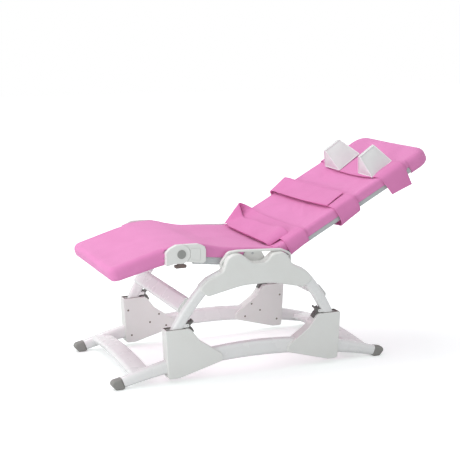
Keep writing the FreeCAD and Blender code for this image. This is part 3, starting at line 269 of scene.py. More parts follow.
# Frame tubes, rails and cross tubes: steel tube in glossy white powder coat, with its faint orange peel.
white_paint = coated("white_powder_coat", color=(0.83, 0.83, 0.825), grime=(0.66, 0.64, 0.6), share=0.12,
                     rough=0.27, spread=0.1, grain_size=1400, ripple_size=190, bump=0.05, coat=0.35)
dress(white_paint, "stand_rail", "base_cross_tube", "arch_tube", "arch_cross_tube", "knee_cross_tube")

# Brackets, wave covers, hip and knee housings: injection moulded white plastic with a satin grain.
white_plastic = coated("white_moulding", color=(0.785, 0.79, 0.765), grime=(0.62, 0.6, 0.55), share=0.18,
                       rough=0.42, spread=0.14, grain_size=2600, ripple_size=70, bump=0.16)
dress(white_plastic, "leg_bracket", "wave_cover", "hip_housing", "knee_housing")

# Seat, calf and back tubes: aluminium tube in light grey coat.
grey_tube = coated("grey_powder_coat", color=(0.52, 0.545, 0.55), grime=(0.4, 0.4, 0.4), share=0.2,
                   rough=0.36, spread=0.12, grain_size=1500, ripple_size=160, bump=0.2)
dress(grey_tube, "seat_rail", "back_rail", "calf_rail", "head_bow", "foot_bow")

# Foot caps and socket liners: rubber, dull and a little dusty.
foot_rubber = coated("foot_rubber", color=(0.27, 0.265, 0.25), grime=(0.38, 0.37, 0.35), share=0.45,
                     rough=0.72, spread=0.2, grain_size=1800, ripple_size=90, bump=0.3)
dress(foot_rubber, "foot_cap")
liner_rubber = coated("liner_rubber", color=(0.20, 0.18, 0.16), grime=(0.2, 0.19, 0.17), share=0.4,
                      rough=0.66, spread=0.2, grain_size=1800, ripple_size=90, bump=0.3)
dress(liner_rubber, "leg_socket_liners")

# Latch levers, knee tabs and pin caps: grey moulded plastic.
lever_plastic = coated("lever_plastic", color=(0.115, 0.11, 0.105), grime=(0.3, 0.29, 0.27), share=0.35,
                       rough=0.46, spread=0.2, grain_size=2400, ripple_size=80, bump=0.3)
dress(lever_plastic, "latch_lever")
tab_plastic = coated("tab_plastic", color=(0.16, 0.115, 0.105), grime=(0.3, 0.26, 0.24), share=0.3,
                     rough=0.46, spread=0.2, grain_size=2400, ripple_size=80, bump=0.3)
dress(tab_plastic, "knee_release_tab")
cap_plastic = coated("cap_plastic", color=(0.30, 0.305, 0.29), grime=(0.4, 0.4, 0.38), share=0.3,
                     rough=0.42, spread=0.2, grain_size=2400, ripple_size=80, bump=0.25)
dress(cap_plastic, "knee_pin_caps")

# Pins and bolts are zinc plated steel. The bracket screws sit deep in their seats; their dark brown colour is
# painted shade of the seats.
zinc = coated("zinc_steel", color=(0.52, 0.52, 0.53), grime=(0.25, 0.24, 0.22), share=0.35,
              rough=0.34, spread=0.2, grain_size=3000, ripple_size=400, bump=0.3, metal=0.9)
dress(zinc, "latch_pins", "seat_bolts", "hinge_pins")
# Dark brown steel: painted shade of the deep screw seats.
shaded_screw_steel = coated("bracket_screw_steel", color=(0.20, 0.17, 0.14), grime=(0.2, 0.18, 0.15), share=0.3,
                    rough=0.5, spread=0.2, grain_size=3000, ripple_size=400, bump=0.3, metal=0.4)
dress(shaded_screw_steel, "bracket_screws")

# Ends of the flat arch cross tubes, where they stand out beside the legs: moulded plugs pushed into the bore.
# Each is a disc drawn out to the tube's flat oval, on the tube's slope.
plug_radius, plug_stretch, plug_thick = 0.0111, 0.0175, 0.004
tube_slope = math.radians(51)
tube_place_x, tube_place_z, plug_inner_y = 0.264, 0.272, 0.2382
for end, side in ((-1, -1), (-1, 1), (1, -1), (1, 1)):
    plug = bmesh.new()
    bmesh.ops.create_circle(plug, cap_ends=True, segments=32, radius=plug_radius)
    wall = bmesh.ops.extrude_face_region(plug, geom=plug.faces[:])["geom"]
    bmesh.ops.translate(plug, verts=[part for part in wall if isinstance(part, bmesh.types.BMVert)],
                        vec=(0, 0, plug_thick))
    for vert in plug.verts:
        long, short, deep = vert.co.x + math.copysign(plug_stretch, vert.co.x), vert.co.y, vert.co.z
        along_x = long * math.cos(tube_slope) + short * math.sin(tube_slope)
        up = short * math.cos(tube_slope) - long * math.sin(tube_slope)
        vert.co = (stand_x + end * (tube_place_x + along_x), side * (plug_inner_y + deep), tube_place_z + up)
    bmesh.ops.recalc_face_normals(plug, faces=plug.faces)
    plug_mesh = bpy.data.meshes.new("arch_tube_plug_%d_%d" % (end, side))
    plug.to_mesh(plug_mesh)
    plug.free()
    plug_mesh.materials.append(white_plastic)
    tube_plug = bpy.data.objects.new(plug_mesh.name, plug_mesh)
    bpy.context.scene.collection.objects.link(tube_plug)
    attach(tube_plug, "chair")

# Cloth of the sling: an open pink mesh bonded on thin foam, with slow darker patches of random tone and
# painted shade in the low points of its weave. Its pattern follows the piece's own UVs, which are in metres of
# cloth.
weave, weave_in, weave_out = shader_group(
    "mesh_cloth",
    [("Color", "NodeSocketColor", (0.8, 0.3, 0.58, 1)),
     ("Deep Color", "NodeSocketColor", (0.6, 0.18, 0.4, 1)),
     ("Threads", "NodeSocketFloat", 620.0)],
    [("Color", "NodeSocketColor"), ("Height", "NodeSocketFloat"), ("Roughness", "NodeSocketFloat")])
cut_place = weave.nodes.new("ShaderNodeUVMap")
cut_place.uv_map = "cloth"
split = weave.nodes.new("ShaderNodeSeparateXYZ")
weave.links.new(cut_place.outputs["UV"], split.inputs[0])
turn_x = math_node(weave, "MULTIPLY", split.outputs["X"], weave_in.outputs["Threads"])
turn_y = math_node(weave, "MULTIPLY", split.outputs["Y"], weave_in.outputs["Threads"])
full_turn = 6.2832
ribs = math_node(weave, "SINE", math_node(weave, "MULTIPLY", turn_x, full_turn), 0.0)
rows = math_node(weave, "SINE", math_node(weave, "MULTIPLY", turn_y, full_turn), 0.0)
mesh_holes = math_node(weave, "MULTIPLY", ribs, rows)
cloth_place = weave.nodes.new("ShaderNodeTexCoord").outputs["Object"]
slow = weave.nodes.new("ShaderNodeTexNoise")
slow.inputs["Scale"].default_value = 11
slow.inputs["Detail"].default_value = 4
weave.links.new(cloth_place, slow.inputs["Vector"])
pile = weave.nodes.new("ShaderNodeTexNoise")
pile.inputs["Scale"].default_value = 420
pile.inputs["Detail"].default_value = 2
weave.links.new(cloth_place, pile.inputs["Vector"])
fibre = math_node(weave, "MULTIPLY_ADD", mesh_holes, 0.22,
                  math_node(weave, "MULTIPLY", pile.outputs["Fac"], 0.5))
depth_mix = weave.nodes.new("ShaderNodeMix")
depth_mix.data_type = "RGBA"
fade = weave.nodes.new("ShaderNodeMapRange")
fade.inputs["From Min"].default_value = 0.3
fade.inputs["From Max"].default_value = 0.75
fade.inputs["To Min"].default_value = 0.0
fade.inputs["To Max"].default_value = 0.16
weave.links.new(slow.outputs["Fac"], fade.inputs["Value"])
# Where the weave lies low it is painted towards the deep colour: painted shade in the holes of the mesh.
weave_hollow_shade = math_node(weave, "MULTIPLY", math_node(weave, "SUBTRACT", 0.62, fibre), 0.22)
weave.links.new(math_node(weave, "ADD", fade.outputs[0], weave_hollow_shade), depth_mix.inputs["Factor"])
weave.links.new(weave_in.outputs["Color"], depth_mix.inputs["A"])
weave.links.new(weave_in.outputs["Deep Color"], depth_mix.inputs["B"])
weave.links.new(depth_mix.outputs["Result"], weave_out.inputs["Color"])
weave.links.new(fibre, weave_out.inputs["Height"])
weave.links.new(math_node(weave, "MULTIPLY_ADD", pile.outputs["Fac"], 0.16, 0.68),
                weave_out.inputs["Roughness"])


def woven(name, color, deep, threads, stitches=None, sheen=0.14):
    """Cloth material. stitches lists lines of sewing as (axis of the cut, place on that axis in metres)."""
    stitch_half, stitch_beat, stitch_gap = 0.0011, 1500.0, -0.35
    material = bpy.data.materials.new(name)
    material.use_nodes = True
    tree = material.node_tree
    shader = tree.nodes["Principled BSDF"]
    cloth = tree.nodes.new("ShaderNodeGroup")
    cloth.node_tree = weave
    cloth.inputs["Color"].default_value = (*color, 1)
    cloth.inputs["Deep Color"].default_value = (*deep, 1)
    cloth.inputs["Threads"].default_value = threads
    height = cloth.outputs["Height"]
    tone = cloth.outputs["Color"]
    if stitches:
        flat_place = tree.nodes.new("ShaderNodeUVMap")
        flat_place.uv_map = "cloth"
        axes = tree.nodes.new("ShaderNodeSeparateXYZ")
        tree.links.new(flat_place.outputs["UV"], axes.inputs[0])
        total = None
        for axis, line in stitches:
            other = "Y" if axis == "X" else "X"
            off = math_node(tree, "ABSOLUTE", math_node(tree, "SUBTRACT", axes.outputs[axis], line), 0.0)
            near = math_node(tree, "LESS_THAN", off, stitch_half)
            turn = math_node(tree, "MULTIPLY", axes.outputs[other], stitch_beat)
            dash = math_node(tree, "GREATER_THAN", math_node(tree, "SINE", turn, 0.0), stitch_gap)
            sewn = math_node(tree, "MULTIPLY", near, dash)
            total = sewn if total is None else math_node(tree, "MAXIMUM", total, sewn)
        height = math_node(tree, "MULTIPLY_ADD", total, 1.4, height)
        thread = tree.nodes.new("ShaderNodeMix")
        thread.data_type = "RGBA"
        thread.inputs["B"].default_value = (color[0] * 0.86, color[1] * 0.72, color[2] * 0.8, 1)
        tree.links.new(math_node(tree, "MULTIPLY", total, 0.7), thread.inputs["Factor"])
        tree.links.new(tone, thread.inputs["A"])
        tone = thread.outputs["Result"]
    relief = tree.nodes.new("ShaderNodeBump")
    relief.inputs["Strength"].default_value = 0.35
    relief.inputs["Distance"].default_value = 0.0008
    tree.links.new(height, relief.inputs["Height"])
    tree.links.new(tone, shader.inputs["Base Color"])
    tree.links.new(cloth.outputs["Roughness"], shader.inputs["Roughness"])
    tree.links.new(relief.outputs["Normal"], shader.inputs["Normal"])
    shader.inputs["Sheen Weight"].default_value = sheen
    shader.inputs["Sheen Roughness"].default_value = 0.4
    shader.inputs["Specular IOR Level"].default_value = 0.16
    return material


def cloth_cut(name, length, width, step, lay, material, thick, rows=()):
    """A flat cut of cloth, length along x and width across y from its corner at 0, 0, laid point by point.
    rows are places along it that get a row of points."""
    cut = bmesh.new()
    bmesh.ops.create_grid(cut, x_segments=max(2, round(length / step)),
                          y_segments=max(2, round(width / step)), size=0.5)
    for row in rows:
        bmesh.ops.bisect_plane(cut, geom=cut.verts[:] + cut.edges[:] + cut.faces[:], dist=1e-6,
                               plane_co=(row / length - 0.5, 0, 0), plane_no=(1, 0, 0))
    flat_uv = cut.loops.layers.uv.new("cloth")
    for face in cut.faces:
        face.smooth = True
        for corner in face.loops:
            corner[flat_uv].uv = ((corner.vert.co.x + 0.5) * length, (corner.vert.co.y + 0.5) * width)
    for vert in cut.verts:
        vert.co = lay((vert.co.x + 0.5) * length, (vert.co.y + 0.5) * width)
    mesh = bpy.data.meshes.new(name)
    cut.to_mesh(mesh)
    cut.free()
    piece = bpy.data.objects.new(name, mesh)
    bpy.context.scene.collection.objects.link(piece)
    mesh.materials.append(material)
    body = piece.modifiers.new("thickness", "SOLIDIFY")
    body.thickness = thick
    body.offset = -1
    return piece


def edge_roll(reach, radius, low_radius, depth):
    """How far out and how far down a cloth goes at reach past the start of its rounded edge."""
    first = math.pi / 2 * radius
    wall = depth - radius - low_radius
    if reach <= 0:
        return reach, 0.0
    if reach < first:
        return radius * math.sin(reach / radius), radius * (1 - math.cos(reach / radius))
    if reach < first + wall or low_radius == 0:
        return radius, radius + reach - first
    rest = reach - first - wall
    if rest < math.pi / 2 * low_radius:
        return (radius - low_radius * (1 - math.cos(rest / low_radius)),
                depth - low_radius + low_radius * math.sin(rest / low_radius))
    return radius - low_radius - (rest - math.pi / 2 * low_radius), depth


def eased(value, low, high):
    """0 below low, 1 above high, and smooth between."""
    share = min(1.0, max(0.0, (value - low) / (high - low)))
    return share * share * (3 - 2 * share)


def unevenness(along, across, height, along_turns, across_turns, seed):
    """Random waves of a cloth, up to height high, with about so many turns along and across in a metre."""
    return height * noise.noise(Vector((along * along_turns, across * across_turns, seed)))


def square_to_round(past_end, past_side, reach):
    """Draws a point of a square corner in, so that the corner becomes a quarter circle of the same reach."""
    end_share, side_share = past_end / reach, past_side / reach
    return (end_share * math.sqrt(1 - side_share * side_share / 2) * reach,
            side_share * math.sqrt(1 - end_share * end_share / 2) * reach)


def over_edge(past_end, past_side, corner, reach, radius, low_radius, depth):
    """Lays a point over the rounded end and side of a cloth, both measured from the start of its corner.
    reach is how far the flat cut goes there. Gives the new pair and how far down the point goes."""
    own = corner - radius
    if past_end > 0 and past_side > 0:
        to_end, to_side = square_to_round(past_end, past_side, reach)
        far = math.hypot(to_end, to_side)
        out, drop = edge_roll(far - own, radius, low_radius, depth)
        grow = (own + out) / max(far, 1e-9)
        return to_end * grow, to_side * grow, drop
    if past_end > 0:
        out, drop = edge_roll(past_end - own, radius, low_radius, depth)
        return own + out, past_side, drop
    if past_side > 0:
        beyond = past_side - own
        if not low_radius and beyond > 0:
            beyond *= (math.pi / 2 * radius + depth - radius) / (reach - own)
        out, drop = edge_roll(beyond, radius, low_radius, depth)
        return past_end, own + out, drop
    return past_end, past_side, 0.0


def smoothed_line(points, window, step=0.002):
    """Distances, x and z of a line through points, evenly stepped, with its bends eased over window."""
    points = np.array(points)
    runs = np.concatenate([[0], np.cumsum(np.hypot(*np.diff(points, axis=0).T))])
    steps = np.arange(-window, runs[-1] + window, step)
    first = (points[1] - points[0]) / runs[1]
    last = (points[-1] - points[-2]) / (runs[-1] - runs[-2])
    ends = np.vstack([points[0] - first * window * 2, points, points[-1] + last * window * 2])
    far = np.concatenate([[-window * 2], runs, [runs[-1] + window * 2]])
    half = max(1, round(window / step / 2))
    kernel = np.hanning(2 * half + 3)[1:-1]
    kernel = kernel / kernel.sum()
    wide = np.arange(-window - half * step, runs[-1] + window + half * step + 1e-9, step)
    xs = np.convolve(np.interp(wide, far, ends[:, 0]), kernel, "valid")
    zs = np.convolve(np.interp(wide, far, ends[:, 1]), kernel, "valid")
    return steps[:len(xs)], xs[:len(steps)], zs[:len(steps)]


pink = (0.82, 0.29, 0.575)
deep_pink = (0.54, 0.13, 0.32)
mesh_threads = 620
cloth_step, cloth_thick = 0.005, 0.0026

# Cloth of the calf support and the seat: one long cut of the mesh that wraps the foot bow, rises over the
# knee and lies on the seat tubes, with skirts down both sides. Over the knee housings it has no skirts.
calf_slope = math.radians(16.85)
knee_x, knee_z = stand_x - 0.2775, 0.457
calf_length, sling_length, sling_half, calf_corner = 0.260, 0.6575, 0.242, 0.028
calf_edge, calf_low_edge, calf_roll = 0.022, 0.018, 0.0782
sling_before = calf_roll - calf_edge
sling_reach = calf_corner - calf_edge + calf_roll
seat_line = [(-0.53353, 0.41916), (-0.3646, 0.4706), (-0.3116, 0.4836), (-0.2616, 0.4884),
             (-0.2086, 0.4884), (-0.1786, 0.4800), (-0.1156, 0.4655), (0.1034, 0.4467)]
seat_top = smoothed_line([(stand_x + x, z) for x, z in seat_line], window=0.05)
housing_front, housing_rear = stand_x - 0.3341, stand_x - 0.1839

# Its edges: deep and rolled under at the calf support, turned down by a few millimetres over the knee
# housings, and a skirt beside the seat tubes that gets shallower towards the hip.
calf_depth, calf_depth_growth = 0.051, 0.045
knee_edge, knee_depth = 0.006, 0.0065
seat_edge = 0.013
seat_skirt_x = [-0.1866, -0.0436, -0.0406, -0.0346]
seat_skirt_depth = [0.0445, 0.0275, 0.026, 0.006]
calf_bend_from, calf_bend_to = -0.3566, -0.3166

# Between the tubes it sags, more on the seat than on the calf support, and not at the foot bow.
seat_open_half = 0.225
calf_sag, seat_more_sag = 0.0035, 0.004
sag_grows_from, sag_grows_to = -0.2166, -0.0966
taut_length = 0.08


def lay_seat(along, across):
    """Place of a point of the flat cut, measured from its foot end and its near edge."""
    p = along - sling_before
    side = across - sling_half - sling_before
    x = float(np.interp(max(p, 0), seat_top[0], seat_top[1]))
    if housing_front - 1e-5 < x < housing_rear + 1e-5:
        radius, low_radius, depth = knee_edge, 0.0, knee_depth
    elif x < knee_x:
        radius, low_radius, depth = calf_edge, calf_low_edge, calf_depth + calf_depth_growth * max(p, 0)
    else:
        depth = float(np.interp(x - stand_x, seat_skirt_x, seat_skirt_depth))
        radius, low_radius = min(seat_edge, depth), 0.0
    to_end, to_side, drop = over_edge(calf_corner - p, abs(side) - (sling_half - calf_corner), calf_corner,
                                      sling_reach, radius, low_radius, depth)
    p = calf_corner - to_end
    y = math.copysign(sling_half - calf_corner + to_side, side)
    x = float(np.interp(p, seat_top[0], seat_top[1]))
    z = float(np.interp(p, seat_top[0], seat_top[2]))
    tilt = calf_slope * (1 - eased(x - stand_x, calf_bend_from, calf_bend_to))
    inner = max(0.0, 1 - (abs(y) / seat_open_half) ** 2)
    sag = calf_sag + seat_more_sag * eased(x - stand_x, sag_grows_from, sag_grows_to)
    slow_wave = unevenness(x, y, height=0.0007, along_turns=9, across_turns=7, seed=0.3)
    fine_wave = unevenness(x, y, height=0.0004, along_turns=30, across_turns=22, seed=1)
    drop = drop + sag * inner * eased(p, 0.0, taut_length) - (slow_wave + fine_wave)
    return x + drop * math.sin(tilt), y, z - drop * math.cos(tilt)


sling_cloth = woven("sling_mesh", pink, deep_pink, mesh_threads)
sling_width = 2 * (sling_half + sling_before)
slit_wide, slit_y = 0.0009, 0.2375
housing_rows = [sling_before + float(np.interp(x, seat_top[1], seat_top[0])) for x in (
    housing_front - slit_wide, housing_front, housing_rear, housing_rear + slit_wide)]
seat_cloth = cloth_cut("seat_and_calf_sheet", sling_length + sling_before, sling_width, cloth_step, lay_seat,
                       sling_cloth, cloth_thick, housing_rows)

# The skirts are slit before and behind the knee housings.
slit = bmesh.new()
slit.from_mesh(seat_cloth.data)
in_slit = []
for face in slit.faces:
    middle = face.calc_center_median()
    before_housing = housing_front - slit_wide < middle.x < housing_front
    behind_housing = housing_rear < middle.x < housing_rear + slit_wide
    if abs(middle.y) > slit_y and (before_housing or behind_housing):
        in_slit.append(face)
bmesh.ops.delete(slit, geom=in_slit, context="FACES")
slit.to_mesh(seat_cloth.data)
slit.free()
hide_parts("seat_cloth", "calf_cloth")
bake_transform(seat_cloth)

# Underside of the calf sleeve: a second cut of the mesh, sewn to the lip of the first all round and open at
# the knee. Measured from the calf support's own line through the knee pins it lies lower towards the knee, and
# it sags in the middle.
under_length, under_corner, seam_lap = 0.1925, 0.018, 0.001
under_half = sling_half - calf_low_edge + seam_lap
under_low, under_fall, under_sag = 0.0122, 0.0457, 0.0022
under_step, under_thick, under_hem = 0.008, 0.002, 0.006


def lay_under(along, across):
    """Place of a point of the under cut, measured from its foot end and its near edge."""
    p, y = along, across - under_half
    past_end, past_side = under_corner - p, abs(y) - (under_half - under_corner)
    if past_end > 0 and past_side > 0:
        to_end, to_side = square_to_round(past_end, past_side, under_corner)
        p = under_corner - to_end
        y = math.copysign(under_half - under_corner + to_side, y)
    x = calf_low_edge + p - calf_length
    z = -under_low - under_fall * (p + calf_low_edge) - under_sag * (1 - (y / under_half) ** 2)
    z += unevenness(x, y, height=0.0008, along_turns=12, across_turns=9, seed=4)
    return (knee_x + x * math.cos(calf_slope) - z * math.sin(calf_slope), y,
            knee_z + x * math.sin(calf_slope) + z * math.cos(calf_slope))


under_cloth = woven("underside_mesh", pink, deep_pink, mesh_threads,
                    stitches=[("Y", under_hem), ("X", under_hem)])
calf_under = cloth_cut("calf_under_sheet", under_length, 2 * under_half, under_step, lay_under, under_cloth,
                       under_thick)
calf_under.modifiers["thickness"].offset = 1
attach(calf_under, "calf")

# Cloth of the back: one cut of the mesh on the back tubes. It bends round the hip with its lower end under
# the hip strap, has skirts down both sides, and is a closed pocket over the head bow.
back_slope = math.radians(28.55)
back_x, back_z = stand_x + 0.0921, 0.449
back_length, back_half, back_start, head_corner = 0.697, sling_half, -0.010, 0.060
head_edge, head_low_edge, head_depth, head_roll = 0.028, 0.018, 0.060, 0.0890
back_before = head_roll - head_edge
back_reach = head_corner - head_edge + head_roll
back_line = [(stand_x - 0.0066, 0.4576), (stand_x + 0.0894, 0.4492), (stand_x + 0.1054, 0.4562),
             (back_x + 0.9 * math.cos(back_slope), back_z + 0.9 * math.sin(back_slope))]
back_top = smoothed_line(back_line, window=0.035)
hip_at = float(np.interp(back_x, back_top[1], back_top[0]))

# Its edges: narrow beside the back tubes, with skirts, and fuller where the head pocket begins.
back_edge, pocket_more_edge, end_more_edge = 0.012, 0.012, 0.004
pocket_from, pocket_at, pocket_to = 0.575, 0.598, 0.612
end_from, end_to = 0.66, 0.69
back_skirt_u = [-0.02, 0.006, 0.010, 0.580, 0.584]
back_skirt_depth = [0.006, 0.008, 0.033, 0.033, 0.027]
hip_bend_from, hip_bend_to = -0.02, 0.04

# Between the tubes it dips, less over the head pocket, and beside each tube it stands up in a low ridge.
back_open_half = 0.222
back_dip, dip_lost_at_head = 0.0085, 0.8
dip_from, dip_to, dip_lost_from, dip_lost_to = -0.03, 0.10, 0.60, 0.66
ridge_height, ridge_y, ridge_wide = 0.0008, 0.228, 0.006

# Creases that the straps pull into it, each from one point of the back to another, and how wide and how high
# it stands.
creases = [((0.150, -0.195), (0.262, 0.02), 0.011, 0.0022), ((0.130, -0.16), (0.235, 0.09), 0.016, -0.0016),
           ((0.395, -0.18), (0.350, 0.03), 0.010, 0.0020), ((0.440, -0.12), (0.365, 0.10), 0.013, -0.0014),
           ((0.585, -0.16), (0.640, -0.02), 0.012, 0.0016), ((0.120, 0.20), (0.215, 0.08), 0.013, 0.0018),
           ((0.430, 0.19), (0.352, 0.06), 0.012, 0.0016), ((0.575, 0.17), (0.632, 0.05), 0.014, 0.0014)]
crease_sway, crease_run = 0.006, 0.42
crease_fade, crease_drop = 0.3, 0.003


def on_back(u, y, n):
    """A point of the back: u up along it from the hip, y across, n above its cloth."""
    return Vector((back_x + u * math.cos(back_slope) - n * math.sin(back_slope), y,
                   back_z + u * math.sin(back_slope) + n * math.cos(back_slope)))


def crease_height(u, y):
    """How far the creases together lift the cloth at a place of the back."""
    total = 0.0
    for (u0, y0), (u1, y1), wide, high in creases:
        du, dy = u1 - u0, y1 - y0
        length = math.hypot(du, dy)
        share = ((u - u0) * du + (y - y0) * dy) / length ** 2
        off = ((u - u0) * dy - (y - y0) * du) / length + crease_sway * math.sin(share * 4)
        total += high * math.exp(-(off / wide) ** 2) * math.exp(-((share - 0.5) / crease_run) ** 4)
    return total


def lay_back(along, across):
    """Place of a point of the flat cut, measured from its head end and its near edge."""
    u = back_length + back_before - along
    side = across - back_half - back_before
    radius = back_edge + pocket_more_edge * eased(u, pocket_from, pocket_to)
    if u > pocket_at:
        radius += end_more_edge * eased(u, end_from, end_to)
        low_radius, depth = head_low_edge, head_depth
    else:
        depth = float(np.interp(u, back_skirt_u, back_skirt_depth))
        radius, low_radius = min(radius, depth), 0.0
    to_end, to_side, drop = over_edge(u - (back_length - head_corner), abs(side) - (back_half - head_corner),
                                      head_corner, back_reach, radius, low_radius, depth)
    u = back_length - head_corner + to_end
    y = math.copysign(back_half - head_corner + to_side, side)
    x = float(np.interp(hip_at + u, back_top[0], back_top[1]))
    z = float(np.interp(hip_at + u, back_top[0], back_top[2]))
    tilt = back_slope * eased(u, hip_bend_from, hip_bend_to)
    flat = max(0.0, 1 - (abs(y) / back_open_half) ** 2)
    head_share = 1 - dip_lost_at_head * eased(u, dip_lost_from, dip_lost_to)
    dip = back_dip * flat * eased(u, dip_from, dip_to) * head_share
    ridge = ridge_height * math.exp(-((abs(y) - ridge_y) / ridge_wide) ** 2)
    crease = crease_height(u, y) * flat ** crease_fade if drop < crease_drop else 0.0
    slow_wave = unevenness(u, y, height=0.0009, along_turns=11, across_turns=8, seed=7)
    fine_wave = unevenness(u, y, height=0.0005, along_turns=34, across_turns=26, seed=2)
    drop -= ridge - dip + crease + (slow_wave + fine_wave)
    return x + drop * math.sin(tilt), y, z - drop * math.cos(tilt)


back_cloth_mesh = woven("back_mesh", pink, deep_pink, mesh_threads)
back_width = 2 * (back_half + back_before)
back_cloth = cloth_cut("back_sheet", back_length + back_before - back_start, back_width, cloth_step, lay_back,
                       back_cloth_mesh, cloth_thick)
back_cloth.modifiers["thickness"].offset = 1
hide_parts("back_cloth")
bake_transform(back_cloth)

# Straps: wide webbing faced with a finer mesh, held by wrapping the back. Each is laid from pairs of points,
# the two edges of the strap at one place on its way, given as (u, y, n) of the back.
strap_step, strap_hem, strap_far_hem = 0.005, 0.005, 0.085
chest_wide, hip_wide, head_wide = 0.092, 0.088, 0.112
round_tube_y, round_tube_calm, strap_crown = 0.235, 0.4, 0.0006
strap_color, strap_threads = (0.79, 0.265, 0.54), 700
strap_cloth = woven("strap_webbing", strap_color, deep_pink, strap_threads,
                    stitches=[("Y", strap_hem), ("Y", strap_far_hem)])


def strap_way(pairs, samples=600):
    """Distance along the middle of a strap and its two edges, smooth through the pairs."""
    pairs = np.array(pairs, float)
    middles = pairs.mean(axis=1)
    runs = np.concatenate([[0], np.cumsum(np.linalg.norm(np.diff(middles, axis=0), axis=1))])
    fine = np.linspace(0, runs[-1], samples)
    ways = []
    for edge in (0, 1):
        points = pairs[:, edge]
        slopes = np.gradient(points, runs, axis=0, edge_order=1)
        at = np.clip(np.searchsorted(runs, fine, side="right") - 1, 0, len(runs) - 2)
        span = (runs[at + 1] - runs[at])[:, None]
        t = ((fine - runs[at]) / (runs[at + 1] - runs[at]))[:, None]
        ways.append((2 * t ** 3 - 3 * t ** 2 + 1) * points[at] + (t ** 3 - 2 * t ** 2 + t) * span * slopes[at]
                    + (3 * t ** 2 - 2 * t ** 3) * points[at + 1] + (t ** 3 - t ** 2) * span * slopes[at + 1])
    return fine, ways[0], ways[1]


def strap_piece(name, pairs, wide, material, thick, ripple=0.0008):
    """A strap laid along pairs, with a little unevenness, less where it goes round a tube, and its hems."""
    fine, foot_line, head_line = strap_way(pairs)
    length = float(fine[-1])

    def lay_strap(along, across):
        share = across / wide
        low = np.array([np.interp(along, fine, foot_line[:, k]) for k in range(3)])
        high = np.array([np.interp(along, fine, head_line[:, k]) for k in range(3)])
        u, y, n = low + (high - low) * share
        crown = math.sin(math.pi * share)
        wave = (unevenness(along, share, height=1, along_turns=14, across_turns=2.5, seed=len(name))
                + unevenness(along, share, height=0.5, along_turns=37, across_turns=5, seed=3))
        n += ripple * wave * (1 if abs(y) < round_tube_y else round_tube_calm) + strap_crown * crown
        return on_back(u, y, n)

    piece = cloth_cut(name, length, wide, strap_step, lay_strap, material, thick)
    piece.modifiers["thickness"].offset = 0
    rounding = piece.modifiers.new("hem", "BEVEL")
    rounding.width = thick * 0.35
    rounding.segments = 2
    rounding.limit_method = "ANGLE"
    rounding.angle_limit = math.radians(50)
    return piece, length


# Chest strap: it goes once round the back, and its free end lies over the top, raised at the far side.
chest_round = [
    ((0.252, 0.06, -0.071), (0.346, 0.06, -0.069)), ((0.252, -0.10, -0.073), (0.346, -0.10, -0.071)),
    ((0.255, -0.20, -0.076), (0.347, -0.20, -0.070)), ((0.258, -0.238, -0.070), (0.348, -0.238, -0.062)),
    ((0.259, -0.2475, -0.048), (0.349, -0.2475, -0.044)), ((0.258, -0.2475, -0.018), (0.349, -0.247, -0.018)),
    ((0.257, -0.243, -0.001), (0.348, -0.242, -0.002)), ((0.256, -0.226, 0.0035), (0.347, -0.226, 0.0030)),
    ((0.255, -0.17, 0.0030), (0.344, -0.17, 0.0005)), ((0.251, -0.05, 0.0010), (0.342, -0.05, -0.0025)),
    ((0.247, 0.08, 0.0015), (0.338, 0.08, -0.0020)), ((0.242, 0.19, 0.0045), (0.326, 0.19, 0.0050)),
    ((0.240, 0.230, 0.0055), (0.320, 0.230, 0.0050)), ((0.240, 0.2465, -0.006), (0.320, 0.2465, -0.006)),
    ((0.242, 0.2475, -0.035), (0.325, 0.2475, -0.035)), ((0.245, 0.238, -0.062), (0.332, 0.238, -0.060)),
    ((0.248, 0.20, -0.071), (0.338, 0.20, -0.069)), ((0.250, 0.10, -0.0745), (0.344, 0.10, -0.0725))]
chest_loop, chest_loop_length = strap_piece("chest_strap_loop", chest_round, chest_wide, strap_cloth,
                                            thick=0.0032)
chest_over = [
    ((0.232, 0.2520, -0.034), (0.312, 0.2520, -0.030)), ((0.229, 0.2520, -0.012), (0.311, 0.2520, 0.004)),
    ((0.229, 0.247, 0.009), (0.311, 0.246, 0.026)), ((0.232, 0.228, 0.014), (0.316, 0.222, 0.026)),
    ((0.236, 0.18, 0.0115), (0.327, 0.165, 0.014)), ((0.240, 0.09, 0.0085), (0.337, 0.08, 0.0075)),
    ((0.243, -0.01, 0.0080), (0.342, -0.01, 0.0055)), ((0.247, -0.11, 0.0095), (0.343, -0.10, 0.0065)),
    ((0.251, -0.175, 0.0110), (0.342, -0.155, 0.0085)), ((0.254, -0.202, 0.0105), (0.340, -0.182, 0.0090))]
chest_top, chest_top_length = strap_piece("chest_strap_end", chest_over, chest_wide, strap_cloth, thick=0.0036)
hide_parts("chest_strap")
for piece, length in ((chest_loop, chest_loop_length), (chest_top, chest_top_length)):
    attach(piece, "back")

